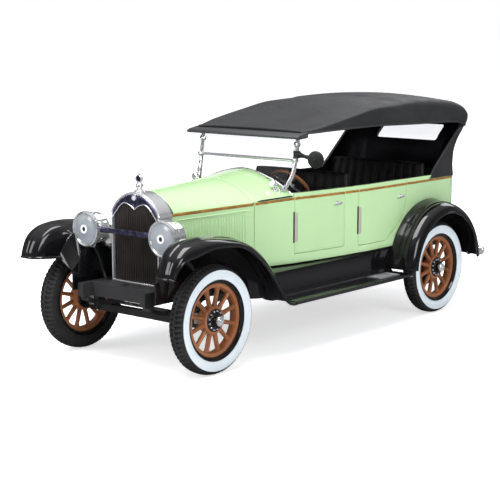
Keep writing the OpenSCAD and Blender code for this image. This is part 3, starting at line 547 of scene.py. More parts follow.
bodyShape = {
    "width": [(hoodY, 10.3), (cowlY, 18.3), (doorY, 22.5), (postY, 25.5), (hingeY, 26.0), (hingeY + 8, 26.5),
              (backY, 26.5)],
    "line": [(hoodY, 48.3), (cowlY, 49.5), (doorY, 50.2), (backY, 50.2)],
    "ridge": [(hoodY, 55.2), (cowlY, 57.4), (doorY, 59.1), (backY, 59.1)],
    "round": [(hoodY, 2.1), (cowlY, 1.8), (doorY, 1.7), (backY, 1.7)],
    "foot": 28.0, "top": 52.0, "corner": 8.0, "wall": 1.2, "doorWall": 1.6, "seam": 0.5, "gap": 0.3,
}


def half(y):
    return follow(bodyShape["width"], y)


def lineZ(y):
    return follow(bodyShape["line"], y)


def seamZ(y):
    return lineZ(y) + bodyShape["seam"]


def crownZ(x, y):
    u, edge = min(abs(x) / half(y), 1), 0.9
    rise = follow(bodyShape["ridge"], y) - seamZ(y) - edge
    return seamZ(y) + rise * (1 - u ** follow(bodyShape["round"], y)) + edge * sqrt(1 - u ** 6)


def sidePlan(steps=44, turn=14, across=10):
    # Plan of the left side from the front door back, round the corner to the middle
    corner, end = bodyShape["corner"], bodyShape["width"][-1][1]
    plan = [(half(y), y) for y in evenly(doorY, backY - corner, steps)]
    plan += [(end - corner + corner * cos(a), backY - corner + corner * sin(a))
        for a in evenly(0, pi / 2, turn)[1:]]
    return plan + [(x, backY) for x in evenly(end - corner, 0, across)[1:]]


def tubShell(wholeWidth):
    plan = sidePlan()
    plan = plan + [(-x, y) for x, y in reversed(plan[:-1])] if wholeWidth else plan[:50]
    foot, top = bodyShape["foot"], bodyShape["top"]

    def shape(u, v):
        x, y = plan[round(u * (len(plan) - 1))]
        return Vector((x, y, foot + (top - foot) * v))
    return surface(shape, len(plan) - 1, 16, away=(0, 20, 40))


def rounded(outline, radius, steps=5):
    # The outline with its corners rounded: radius is one number per corner
    made = []
    for i, (corner, r) in enumerate(zip(outline, radius)):
        here, before, after = Vector(corner), Vector(outline[i - 1]), Vector(outline[(i + 1) % len(outline)])
        if not r:
            made.append(here)
            continue
        a, b = here + (before - here).normalized() * r, here + (after - here).normalized() * r
        made += [a * (1 - t) ** 2 + here * 2 * t * (1 - t) + b * t * t for t in evenly(0, 1, steps)]
    return [tuple(p) for p in made]


def frontDoor(g):
    return rounded([(doorY + g, 31.1 + g), (postY - g, 31.1 + g), (postY - g, 54), (doorY + g, 54)],
                   [0.3, 1.6, 0, 0])


def rearDoor(g):
    end = hingeY + 16.5
    return rounded([(hingeY + g, 30.4 + g), (end - g, 30.4 + g), (rearY - 17.2 - g, 37.2 + 0.4 * g),
        (rearY - 14.6 - g, 42.8), (rearY - 14.6 - g, 54), (hingeY + g, 54)], [0.3, 1.5, 3.0, 2.0, 0, 0])


halfGap = bodyShape["gap"] / 2
hingeSlots = {"front": (doorY, 35.3, 45.3), "rear": (hingeY, 34.9, 44.3)}
slotY, slotZ0, slotZ1 = hingeSlots["rear"]
slotCut = prism([(slotY - 0.75, slotZ0 - 0.3), (slotY + 0.1, slotZ0 - 0.3), (slotY + 0.1, slotZ1 + 0.3),
                 (slotY - 0.75, slotZ1 + 0.3)], -40, 40)
archCut = pointing(turned([(0, -40), (25.75, -40), (25.75, 40), (0, 40)], 96), (0, rearY, axleZ), (1, 0, 0))
addPiece("bodyTub", tubShell(True), ("mint", "lining"), inner=1, replaces="body_tub", wall=bodyShape["wall"],
    cuts=[prism(frontDoor(-0.02), -40, 40), prism(rearDoor(-0.02), -40, 40), archCut, slotCut], bevel=0.18)
doors = {"front": (frontDoor(halfGap), postY - 4, 46.9), "rear": (rearDoor(halfGap), rearY - 19, 45.9)}


def handleShape(y, z):
    # A lever handle: round rose, neck and a tapering lever
    x = half(y)
    rose = pointing(turned([(0, -0.3), (0.85, -0.3), (0.85, 0.12), (0.55, 0.3), (0.4, 0.9), (0.55, 1.25),
        (0.35, 1.55), (0, 1.62)], 28), (x, y, z), (1, 0, 0))
    lever = rod(smoothLine([(x + 1.15, y + 1.0, z + 0.25), (x + 1.2, y, z), (x + 1.15, y - 1.6, z - 0.1),
                            (x + 1.05, y - 3.6, z - 0.45)]), [0.2 + 0.22 * sin(pi * min(1, 0.25 + i / 18))
                                                              for i in range(19)])
    return joined(rose, lever)


def onSide(sign, build):
    return build if sign > 0 else mirrored(build)


leftRight = (("left", 1), ("right", -1))
for side, sign in leftRight:
    for which in ("front", "rear"):
        door = f"door_{which}_{side}"
        outline, handleY, handleZ = doors[which]
        addPiece(f"{which}Door_{side}", onSide(sign, tubShell(False)), ("mint", "lining"), inner=1, body=door,
                 replaces=f"{which}_door_{side}", wall=bodyShape["doorWall"],
                 keep=[prism(outline, *sorted((sign * 10, sign * 40)))], bevel=0.16)
        y, z0, z1 = hingeSlots[which]
        strap = block((half(y) - 0.25, y + 0.32, z0), (half(y) + 0.26, y + 1.45, z1), bevel=0.1)
        barrel = rod([(half(y) - 0.15, y + 0.55, z0), (half(y) - 0.15, y + 0.55, z1)], 0.47)
        # A near-black block in the slot in front of each hinge, painted as the shadow in the recess
        slotShadowBlock = block((half(y) - 0.3, y - 0.62, z0 - 0.35), (half(y) + 0.05, y - 0.06, z1 + 0.35),
            bevel=0.03)
        addPiece(f"{which}HingeSlotShadow_{side}", onSide(sign, slotShadowBlock), "shadow")
        addPiece(f"{which}Handle_{side}", onSide(sign, handleShape(handleY, handleZ)), "chrome", body=door)
        addPiece(f"{which}Hinge_{side}", joined(onSide(sign, strap), onSide(sign, barrel)), "hinge",
            body=door)
print("body and doors made")


# Cowl, from the bonnet's rear end to the windscreen
def cowlShape(u, v):
    y = cowlY + 0.1 + (doorY - 0.15 - cowlY) * v
    side = 0.2
    if u < side or u > 1 - side:
        t = (u if u < side else 1 - u) / side
        return Vector((half(y) * (1 if u < 0.5 else -1), y,
            bodyShape["foot"] + (seamZ(y) - bodyShape["foot"]) * t))
    x = half(y) * cos(pi * (u - side) / (1 - 2 * side))
    return Vector((x, y, crownZ(x, y)))


addPiece("cowlShell", surface(cowlShape, 80, 24, away=(0, -25, 40)), ("mint", "lining"), inner=1,
    replaces="cowl", wall=bodyShape["wall"], bevel=0.18)


def crownLine(y, lift, inset=0.0, steps=48):
    return [(x, y, crownZ(x, y) + lift) for x in ((half(y) - inset) * cos(a) for a in evenly(0, pi, steps))]


addPiece("cowlTrim", rod(crownLine(doorY - 0.4, 0.05, 0.6), 0.24), "chrome")
addPiece("cowlSeam", rod(crownLine(cowlY - 0.1, -0.35, 0.3), 0.3), "mint")
# A thin near-black strip below the cowl's seam, painted as the shadow of the groove there
cowlGrooveShadow = []
for t in evenly(0, 1, 24):
    y = cowlY + 1.2 + 14.6 * t
    cowlGrooveShadow.append((half(y) - 0.02, y, lineZ(y) + 0.78 + 0.1 * t))
addPiece("cowlGrooveShadow", bothSides(rod(cowlGrooveShadow, [0.06 + 0.2 * min(1, 5 * sin(a)) for a in evenly(0, pi, 24)])),
    "shadow")


# Bonnet sides with their louvres
def hoodSideShape(u, v):
    y = hoodY + (cowlY - 0.1 - hoodY) * u
    return Vector((half(y), y, 26.2 + (seamZ(y) - 0.3 - 26.2) * v))


louvres = {"first": hoodY + 3.6, "pitch": 1.02, "count": 25, "foot": 33.5, "top": 45.4, "width": 0.56,
    "proud": 0.32}
addPiece("bonnetSides", bothSides(surface(hoodSideShape, 24, 10, away=(0, -50, 35))), "mint",
         replaces="bonnet_sides", wall=0.9, bevel=0.12)
ribs = []
for i in range(louvres["count"]):
    y = louvres["first"] + louvres["pitch"] * i
    top = louvres["top"] + 0.04 * i
    rib = bmesh.new()
    bmesh.ops.create_cube(rib, size=1)
    bmesh.ops.scale(rib, vec=(2 * louvres["proud"], louvres["width"], top - louvres["foot"]), verts=rib.verts)
    bmesh.ops.translate(rib, vec=(half(y) - 0.02, y, (top + louvres["foot"]) / 2), verts=rib.verts)
    for v in rib.verts:
        if v.co.y > y:  # the rear edge lies in the panel, so each louvre slopes
            v.co.x -= 0.26
    bmesh.ops.bevel(rib, geom=rib.edges[:], offset=0.13, segments=2, affect="EDGES", profile=0.5, material=-1)
    ribs.append(rib)
y0, y1 = louvres["first"] - 1.6, louvres["first"] + louvres["pitch"] * louvres["count"] + 0.2
bead = rod([(half(y) + 0.02, y, 46.55 + 0.04 * (y - y0)) for y in evenly(y0, y1, 16)],
    [0.1] + [0.27] * 15 + [0.1])
addPiece("bonnetLouvres", bothSides(joined(*ribs, bead)), "mint")


# Bonnet leaves, which open on the ridge rod
def leafShape(sign):
    def shape(u, v):
        y = hoodY + 0.4 + (cowlY - 0.3 - hoodY - 0.4) * v
        x = 0.7 + (half(y) - 0.7) * sin(pi / 2 * u)
        z = crownZ(x, y)
        if v < 0.02:
            y += (follow(bodyShape["ridge"], y) - z) * 0.0696
        return Vector((sign * x, y, z))
    return shape


for side, sign in leftRight:
    addPiece(f"bonnetLeaf_{side}", surface(leafShape(sign), 36, 30, away=(0, -45, 30)), "mint",
        body=f"bonnet_{side}", replaces=f"bonnet_leaf_{side}", wall=0.8, bevel=0.14)


# Painted line along the body: a thin raised strip that follows the plan
def coachStrip(places, name, body="root", sign=1):
    path = [Vector((sign * (x + 0.02), y, lineZ(min(y, backY)) - 0.02)) for x, y in places]
    flat = [path[0]] + path + [path[-1]]

    def shape(u, v):
        i = round(u * (len(path) - 1))
        along = (flat[i + 2] - flat[i]).normalized()
        out = along.cross(Vector((0, 0, 1))) * sign
        a = pi * v
        wave = 0.03 * sin(2.1 * path[i].y) + 0.02 * sin(5.3 * path[i].y)
        return path[i] + out * (0.16 * sin(a) - 0.03) + Vector((0, 0, 0.45 * cos(a) + wave))
    strip = surface(shape, len(path) - 1, 8)
    facesOut(strip, away=(0, sum(p.y for p in path) / len(path), 40))
    addPiece(name, strip, "line", body=body, wall=0.03)


def planBetween(y0, y1, steps):
    return [(half(y), y) for y in evenly(y0, y1, steps)]


backPlan = [(half(rearY - 14.5), rearY - 14.5)] + [p for p in sidePlan() if p[1] > rearY - 14.5]
coachStrip(backPlan + [(-x, y) for x, y in reversed(backPlan[:-1])], "lineRear")
for side, sign in leftRight:
    coachStrip(planBetween(hoodY + 0.1, cowlY - 0.4, 60), f"lineBonnet_{side}", sign=sign)
    coachStrip(planBetween(cowlY + 0.4, doorY - 0.25, 34), f"lineCowl_{side}", sign=sign)
    coachStrip(planBetween(postY + 0.15, hingeY - 0.15, 16), f"linePost_{side}", sign=sign)
    coachStrip(planBetween(doorY + 0.25, postY - 0.2, 50), f"lineFrontDoor_{side}", body=f"door_front_{side}",
        sign=sign)
    coachStrip(planBetween(hingeY + 0.25, rearY - 14.8, 60), f"lineRearDoor_{side}", body=f"door_rear_{side}",
        sign=sign)
print("cowl, bonnet and coachline made")

# ---------- radiator ----------

radiator = {"halfWidth": 10.9, "foot": 24.7, "archZ": 43.6, "archR": 12.1, "tip": 50.0, "peak": 51.9,
    "peakX": 4.7, "side": 46.9, "coreHalf": 9.9}


def shellOutline(g, steps=(12, 40)):
    w, r = radiator["halfWidth"] - g, radiator["archR"] - g
    meet = radiator["archZ"] + sqrt(r * r - w * w)
    left = [(-w, z) for z in evenly(radiator["foot"], meet, steps[0])[:-1]]
    start = acos(w / r)
    arch = [(-r * cos(a), radiator["archZ"] + r * sin(a)) for a in evenly(start, pi - start, steps[1])]
    return left + arch + [(-x, z) for x, z in reversed(left)]


def shellShape():
    profile = [(0, 6.2), (0, 1.3), (0.04, 0.7), (0.18, 0.28), (0.42, 0.05), (0.62, 0.0), (0.82, 0.14),
        (0.95, 0.5), (1.0, 1.6)]
    rings = [[Vector((x, radiatorY + d, z)) for x, z in shellOutline(g)] for g, d in profile]

    def shape(u, v):
        ring = rings[round(v * (len(profile) - 1))]
        return ring[round(u * (len(ring) - 1))].copy()
    return surface(shape, len(rings[0]) - 1, len(profile) - 1)


def scallopZ(x):
    x, tip, peak = abs(x), radiator["tip"], radiator["peak"]
    if x < radiator["peakX"]:
        return tip + (peak - tip) * sin(pi / 2 * (x / radiator["peakX"]) ** 0.85)
    t = (x - radiator["peakX"]) / (radiator["coreHalf"] - radiator["peakX"])
    return peak - (peak - radiator["side"]) * (0.35 * t + 0.65 * (1 - cos(pi / 2 * t)))


def archTop(x):
    return radiator["archZ"] + sqrt(max((radiator["archR"] - 0.9) ** 2 - x * x, 0))


def tankShape(u, v):
    x = (radiator["coreHalf"] + 0.05) * (2 * u - 1)
    low, high = scallopZ(x), max(archTop(x), scallopZ(x) + 0.3)
    return Vector((x, radiatorY + 0.5 - 0.25 * sin(pi * v), low + (high - low) * v))


def coreShape(u, v):
    x = radiator["coreHalf"] * (2 * u - 1)
    rib = (round(u * 96) % 4)
    return Vector((x, radiatorY + 1.25 - (0.42 if rib in (1, 2) else 0),
        25.6 + (scallopZ(x) + 0.25 - 25.6) * v))


addPiece("radiatorShell", facesOut(shellShape(), away=(0, radiatorY + 3, 42)), "chrome",
    replaces="radiator_shell", wall=0.4, angle=50)
addPiece("radiatorTank", surface(tankShape, 60, 10, away=(0, 0, 50)), "navy", wall=0.4)
scallop = [(x, radiatorY + 0.22, scallopZ(x)) for x in evenly(-9.9, 9.9, 60)]
addPiece("radiatorBead", joined(rod(scallop, 0.22),
    rod([(-9.9, radiatorY + 0.35, 26.0), (9.9, radiatorY + 0.35, 26.0)], 0.4)), "chrome")
addPiece("radiatorCore", surface(coreShape, 96, 6, away=(0, 0, 40)), "core",
         replaces="radiator_core", wall=0.5, angle=20)
badge = pointing(turned([(0, 0.32), (0.62, 0.32), (0.7, 0.22), (0.78, 0.45), (0.98, 0.42), (1.02, 0.1),
    (1.02, 0)], 40), (0, radiatorY + 0.35, 53.9), (0, -1, 0))
badge.faces.ensure_lookup_table()
for f in badge.faces:
    c = f.calc_center_median()
    f.material_index = 1 if (Vector((c.x, 0, c.z)) - Vector((0, 0, 53.9))).length < 0.66 else 0
addPiece("badge", badge, ("chrome", "enamel"))
capY = radiatorY + 2.7
cap = turned([(0, -0.1), (1.75, -0.1), (1.75, 0.25), (1.45, 0.6), (0.85, 0.75), (0.7, 0.95), (1.1, 1.3),
    (1.32, 1.75), (1.32, 2.1), (1.1, 2.6), (0.6, 2.95), (0.42, 3.2), (0.42, 3.6), (0, 3.6)], 40)
shifted(cap, (0, capY, 55.6))
dial = pointing(turned([(0, -0.7), (0.8, -0.7), (1.25, -0.45), (1.42, 0), (1.42, 0.4), (1.3, 0.62),
    (1.1, 0.62), (1.04, 0.42), (0, 0.42)], 36), (0, capY, 59.7), (0, -1, 0))
pin = rod([(0, capY, 61.0), (0, capY, 61.5), (0, capY, 61.9)], [0.4, 0.45, 0.2])
needle = painted(block((-0.09, capY - 0.5, 59.55), (0.09, capY - 0.45, 60.5), bevel=0), 2)
for f in dial.faces:
    c = f.calc_center_median()
    f.material_index = 1 if c.y < capY - 0.41 and (c - Vector((0, c.y, 59.7))).length < 0.85 else 0
addPiece("radiatorCap", joined(cap, dial, pin, needle), ("chrome", "navy", "satin"),
         replaces="radiator_cap")
print("radiator made")

# ---------- lamps ----------

headlamp = {"place": (17.3, radiatorY - 5.0, 42.75), "r": 5.85}


def lampShape():
    r = headlamp["r"]
    drum = turned([(r - 0.95, -0.05), (r - 0.8, -0.4), (r - 0.4, -0.68), (r - 0.02, -0.4), (r + 0.03, 0.1),
        (r - 0.05, 0.75), (r - 0.45, 0.95), (r - 0.5, 1.15), (r - 0.6, 2.6), (r - 0.66, 2.75),
        (r - 0.58, 2.95), (r - 0.66, 3.15), (r - 0.72, 4.9), (r - 1.05, 6.1), (r - 1.8, 7.0), (r - 3.0, 7.6),
        (r - 4.4, 7.9), (0, 8.0)], 72)
    return pointing(drum, headlamp["place"], (0, 1, 0))


def lensShape():
    r = headlamp["r"] - 0.95
    glass = painted(turned([(r, 0.1), (r, -0.3), (r - 0.35, -0.42), (r - 0.5, -0.34), (r - 0.62, -0.42),
        (3.4, -0.62), (2.2, -0.78), (1.5, -0.84), (1.3, -0.80)], 72), 0)
    ring = painted(turned([(1.46, -0.7), (1.44, -1.02), (1.15, -1.14), (0.78, -1.02), (0.7, -0.8)], 40), 1)
    hole = painted(turned([(0.78, -0.86), (0.4, -0.8), (0, -0.78)], 40), 2)
    return pointing(joined(glass, ring, hole), headlamp["place"], (0, 1, 0))


def lampStand():
    x, y, z = headlamp["place"]
    stalk = rod(smoothLine([(x, y + 3.2, z - 4.4), (x - 0.3, y + 3.5, z - 6.4), (x - 1.2, y + 4.6, 33.5),
                            (x - 2.2, y + 5.2, 29.0), (14, y + 5.4, 25.6)]), 0.62)
    fork = rod(smoothLine([(x - 1.4, y + 2.2, z - 4.5), (x - 1.0, y + 2.9, z - 5.9),
        (x + 0.2, y + 3.2, z - 6.3), (x + 1.2, y + 2.9, z - 5.9), (x + 1.5, y + 2.2, z - 4.5)]), 0.35)
    nut = pointing(turned([(0, 0), (0.95, 0), (0.95, 0.9), (0.6, 1.2), (0, 1.2)], 8), (x, y + 3.2, z - 5.7),
        (0, 0, 1))
    return joined(painted(stalk, 1), fork, nut)


addPiece("headlampDrums", joined(bothSides(lampShape()), bothSides(lampStand())), ("chrome", "gloss"),
         replaces="headlamps", angle=40)
addPiece("headlampLenses", bothSides(lensShape()), ("lens", "bulb", "satin"), replaces="headlamp_lenses")

sideLamp = {"x": 17.8, "y": cowlY + 11}


def sideLampShape():
    x, y = sideLamp["x"], sideLamp["y"]
    z = crownZ(x, y)
    ball = pointing(turned([(0, -1.35), (0.95, -1.3), (1.22, -1.0), (1.3, -0.6), (1.18, -0.5), (1.25, 0),
        (1.1, 0.7), (0.6, 1.25), (0, 1.4)], 32), (x, y - 0.1, z + 2.3), (0, 1, 0))
    foot = turned([(0, -0.4), (0.95, -0.4), (0.85, 0.1), (0.4, 0.35), (0.36, 1.6), (0, 1.6)], 24)
    shifted(foot, (x, y, z))
    drop = rod(smoothLine([(x + 0.6, y + 0.5, z + 1.2), (x + 1.3, y + 0.8, z + 0.3),
        (x + 1.7, y + 0.7, z - 0.9), (x + 1.8, y + 0.4, z - 1.7)]), 0.3)
    return joined(ball, foot, drop)


addPiece("cowlLamps", bothSides(sideLampShape()), "chrome", replaces="cowl_lamps")


def tailLampShape():
    x, y, z = 30, rearY + 29.4, axleZ + 2.3
    barrel = painted(pointing(turned([(0, 0), (1.1, 0), (1.45, 0.3), (1.45, 3.2), (1.7, 3.4), (1.9, 3.75),
        (1.9, 4.35), (1.65, 4.65), (1.35, 4.5)], 36), (x, y, z), (0, 1, 0)), 0)
    red = painted(pointing(turned([(1.5, 4.45), (1.2, 4.66), (0.6, 4.8), (0, 4.85)], 36), (x, y, z),
        (0, 1, 0)), 1)
    arm = painted(rod([(x, rearY + 24.2, z), (x, y - 1.6, z), (x, y + 0.4, z)], [0.75, 0.55, 0.6]), 0)
    return joined(barrel, red, arm)


addPiece("tailLamps", bothSides(tailLampShape()), ("chrome", "red"), replaces="tail_lamps")
print("lamps made")

# ---------- fenders and running boards ----------

frontFender = {
    "crown": [(-23, 16.2), (-22.4, 18.6), (-20.6, 22.2), (-17.6, 24.8), (-14, 26.1), (-9, 26.7), (-4, 26.5),
              (1, 26), (6.5, 25.1), (11.6, 23.5), (16, 21), (20.2, 17.6), (23.8, 13.6), (27, 9.4),
              (29.4, 5.6), (32, 2.6), (35.1, 1.3)],
    # place, inner edge, drop to it, drop to the outer lip, half width of the lip
    "edges": [(-23, 24.4, 1.4, 1.2, 34.4), (-20, 23.6, 2, 2.4, 35.4), (-15, 22.6, 2.6, 3.6, 36.1),
              (-9, 21.4, 3.4, 3, 36.5), (-4.4, 20.6, 3.6, 2.5, 36.5), (-2.2, 10.9, 7.2, 2.3, 36.5),
              (6, 11.0, 7, 2, 36.5), (12, 12.5, 6.8, 2.4, 36.5), (18, 14.2, 5.6, 2.8, 36.5),
              (22, 17.5, 3.6, 2.8, 36.4), (25, 20.6, 2.4, 2.8, 36.4), (30, 23.6, 1, 2, 36.2),
              (35.1, 25.6, 0.4, 1, 36)],
    "wall": 0.75, "flat": (27, 32.4), "crease": 30.9, "noseBack": 7.6, "skirtX": 18.9, "skirtFoot": 23.0,
    "clear": 18.4,
}


def fenderSection(y, u):
    # A point of the section from the inner edge (0) over the crown to the outer lip (1)
    x0, drop, lip, x1 = follow(frontFender["edges"], y)
    flat0, flat1 = frontFender["flat"]
    if u < 0.45:
        t = u / 0.45
        return x0 + (flat0 - x0) * t, -drop * (0.5 + 0.5 * cos(pi * t))
    if u < 0.75:
        t = (u - 0.45) / 0.3
        x = flat0 + (flat1 - flat0) * t
        bead = max(0, 1 - abs(x - frontFender["crease"]) / 0.36)
        return x, 0.25 * sin(pi * t) + 0.2 * bead * bead * (3 - 2 * bead)
    a = pi / 2 * (u - 0.75) / 0.25
    return flat1 + (x1 - flat1) * sin(a), -lip * (1 - cos(a))


crownPath = smoothLine([(0, y, z) for y, z in frontFender["crown"]], 7)


def frontFenderShape(u, v):
    i = round(v * (len(crownPath) - 1))
    here = crownPath[i]
    nose = max(0, min(1, (-6 - here.y) / 17))
    back = frontFender["noseBack"] * nose * nose * (3 - 2 * nose) * max(0, 1 - u / 0.62) ** 1.6
    along = (crownPath[min(i + 1, len(crownPath) - 1)] - crownPath[max(i - 1, 0)]).normalized()
    x, rise = fenderSection(here.y, u)
    normal = Vector((0, -along.z, along.y))
    return Vector((x, frontY + here.y + back, axleZ + here.z)) + normal * rise


def fenderRim():
    points = [frontFenderShape(1, i / (len(crownPath) - 1)) for i in range(len(crownPath))]
    nose = [frontFenderShape(1 - u / 10, 0) for u in range(10, 0, -1)]
    return rod([p - Vector((0.25, 0, 0)) for p in nose + points], 0.42, sides=3)


# The inner skirts stand clear of the wheels at full lock
skirtCount = max(i for i, p in enumerate(crownPath) if axleZ + p.z > 29)


def skirtShape(u, v):
    i, inner = round(u * skirtCount), frontFender["skirtX"]
    x0 = follow(frontFender["edges"], crownPath[i].y)[0]
    inward = max(0, (inner - x0) / (frontFender["flat"][0] - x0))
    top = frontFenderShape(0.45 * inward, i / (len(crownPath) - 1)) - Vector((0, 0, 0.3))
    clear = axleZ + sqrt(max(frontFender["clear"] ** 2 - (top.y - frontY) ** 2, 0))
    knee = Vector((inner, top.y, min(top.z - 0.2, max(clear, 27.2))))
    if v < 0.5:
        return top.lerp(knee, 2 * v)
    return knee.lerp(Vector((inner, top.y, frontFender["skirtFoot"])), 2 * v - 1)


addPiece("frontFenderSkirts", bothSides(surface(skirtShape, skirtCount, 12, away=(0, frontY, 30))), "gloss",
    wall=0.5)
frontWing = surface(frontFenderShape, 60, len(crownPath) - 1, away=(27, frontY, axleZ))
addPiece("frontFenders", bothSides(frontWing), "gloss", replaces="front_fenders",
         wall=frontFender["wall"], bevel=0.1)
addPiece("frontFenderRims", bothSides(fenderRim()), "gloss")

rearFender = {"r": 24.8, "lip": 3.6, "arch": 25.7, "inner": 23.2, "bodyX": 26.5, "outX": trackHalf + 7.1,
    "span": 85}


def rearSection(u):
    # Half width and radius at a point from the wheelhouse wall (0) over the crown to the outer lip (1)
    r, lip, arch, inner, bodyX, outX = (rearFender[key] for key in ("r", "lip", "arch", "inner", "bodyX",
        "outX"))
    if u < 0.3:
        return inner, 17.5 + (arch - 17.5) * u / 0.3
    if u < 0.45:
        return inner + (bodyX - inner) * (u - 0.3) / 0.15, arch
    if u < 0.7:
        t = (u - 0.45) / 0.25
        return bodyX + (32 - bodyX) * t, arch - 0.9 * (0.5 - 0.5 * cos(pi * t))
    a = pi / 2 * (u - 0.7) / 0.3
    return 32 + (outX - 32) * sin(a), r - lip + lip * cos(a)


def rearFenderShape(u, v):
    a = radians(rearFender["span"]) * (1 - 2 * v)
    x, r = rearSection(u)
    return Vector((x, rearY - r * sin(a), axleZ + r * cos(a)))


rearWing = surface(rearFenderShape, 60, 84, away=(20, rearY, axleZ))
rearRim = rod([rearFenderShape(1, i / 72) - Vector((0.3, 0, 0)) for i in range(73)], 0.45, sides=3)
rearBead = rod([(31.4, rearY - 24.95 * sin(a), axleZ + 24.95 * cos(a))
    for a in evenly(radians(84), -radians(84), 72)], 0.22, sides=3)
addPiece("rearFenders", bothSides(rearWing), "gloss", replaces="rear_fenders", wall=0.75, bevel=0.1)
addPiece("rearFenderRims", bothSides(joined(rearRim, rearBead)), "gloss")

# The apron and running board are one folded sheet, with rubber ribs along the board
board = {"front": frontY + 35.0, "rear": rearY - 23.4, "z": 18.5, "edgeX": 36.1, "apronX": 26.0}


def boardSection(y):
    foot, apron, z, edge = half(y) - 0.9, board["apronX"], board["z"], board["edgeX"]
    line = [(foot, 27.55), (foot + (apron - foot) * 0.5, 27.35), (apron - 0.45, 27.1), (apron - 0.1, 26.9),
        (apron, 26.5), (apron + 0.05, 23.5), (apron + 0.1, 20.2), (apron + 0.35, 19.1), (apron + 0.9, 18.6)]
    ribs = [(27.5 + 0.25 * i, z + (0.16 if i % 4 in (1, 2) else 0.0)) for i in range(32)]
    return line + ribs + [(edge - 0.35, z + 0.05), (edge, z - 0.25), (edge, z - 0.75), (edge - 0.3, z - 1.0)]


boardCount = len(boardSection(0))


def boardShape(u, v):
    y = board["front"] + (board["rear"] - board["front"]) * v
    x, z = boardSection(y)[round(u * (boardCount - 1))]
    return Vector((x, y, z))


addPiece("runningBoards", bothSides(surface(boardShape, boardCount - 1, 40, away=(20, 0, -40))), "gloss",
    replaces="running_boards", wall=0.45, angle=40)


def shelfShape(u, v):
    # The apron's top runs on beside the bonnet and narrows behind the front wheel
    y = frontY + 14 + 21.1 * v
    t = max(0, min(1, (y - frontY - 19.5) / 9))
    edge = 18.9 + (board["apronX"] - 18.9) * t * t * (3 - 2 * t)
    foot = half(y) - 0.9
    x, z = [(foot, 27.55), ((foot + edge) / 2, 27.35), (edge - 0.45, 27.1), (edge - 0.1, 26.9), (edge, 26.5),
            (edge + 0.05, 22.5), (edge + 0.1, 19.5)][round(u * 6)]
    return Vector((x, y, z))


addPiece("apronFronts", bothSides(surface(shelfShape, 6, 30, away=(15, frontY + 25, 0))), "gloss",
         wall=0.45, angle=40)
stepY0, stepY1 = rearY - 41.2, rearY - 29.2


def stepShape(u, v):
    x, y = 28 + 6 * u, stepY0 + (stepY1 - stepY0) * v
    inside = 0.08 < u < 0.92 and 0.04 < v < 0.96
    rib = 0.22 * (round(u * 40) % 4 in (1, 2)) if inside else 0.25
    return Vector((x, y, board["z"] + 0.22 + rib))


addPiece("stepPlates", bothSides(surface(stepShape, 40, 26, away=(31, 0, 0))), "chrome",
         replaces="step_plates", wall=0.3, angle=30)
print("fenders and running boards made")

# ---------- wheels ----------

wheel = {"tyreR": 17.4, "tyreHalf": 3.0, "rimR": 12.7, "spokes": 12, "blocks": 66, "felloe": (10.3, 11.7),
         "whitewall": (12.95, 15.95), "nuts": 12}


def tyreShape():
    blocks, per = wheel["blocks"], 4
    side = [(12.72, 2.15), (12.95, 2.55), (13.4, 2.86), (14.2, 3.0), (15.2, 2.99), (15.9, 2.86), (15.98, 2.9),
        (16.12, 2.88), (16.2, 2.74), (16.6, 2.5), (16.95, 2.15)]
    tread = [(17.12, 1.85), (17.25, 1.4), (17.27, 1.2), (17.36, 1.0), (17.4, 0.45), (17.4, 0.3), (17.4, 0.0)]
    profile = side + tread + [(r, -h) for r, h in reversed(tread[:-1])] + [(r, -h) for r, h in reversed(side)]
    build = turned(profile + [(12.72, 0), profile[0]], blocks * per)
    for v in build.verts:
        r = sqrt(v.co.x ** 2 + v.co.y ** 2)
        if r < 16.5 or abs(v.co.z) < 0.38:
            continue
        turn = atan2(v.co.y, v.co.x) / (2 * pi) * blocks + (0.5 if v.co.z > 0 else 0)
        if (turn - floor(turn)) > 0.56:
            k = 1 - (0.62 if r > 17 else 0.4) / r
            v.co.x *= k
            v.co.y *= k
    low, high = wheel["whitewall"]
    for f in build.faces:
        c = f.calc_center_median()
        r = sqrt(c.x ** 2 + c.y ** 2)
        f.material_index = 1 if low < r < high and c.z > 1 else 0
    return build


def spokeShape(angle):
    # An oval spoke, thicker where it meets the hub and where it spreads into the felloe
    widths = [(3.2, 1.02), (4.2, 0.92), (6.0, 0.74), (8.2, 0.66), (9.6, 0.72), (10.2, 0.95), (10.7, 1.35)]

    def shape(u, v):
        r = 3.2 + 7.5 * v
        a = 2 * pi * u
        w = follow(widths, r)
        return Vector((r, w * cos(a), 0.2 + 0.85 * sin(a)))
    spoke = surface(shape, 14, 14)
    return moved(spoke, Matrix.Rotation(angle, 4, "Z"))


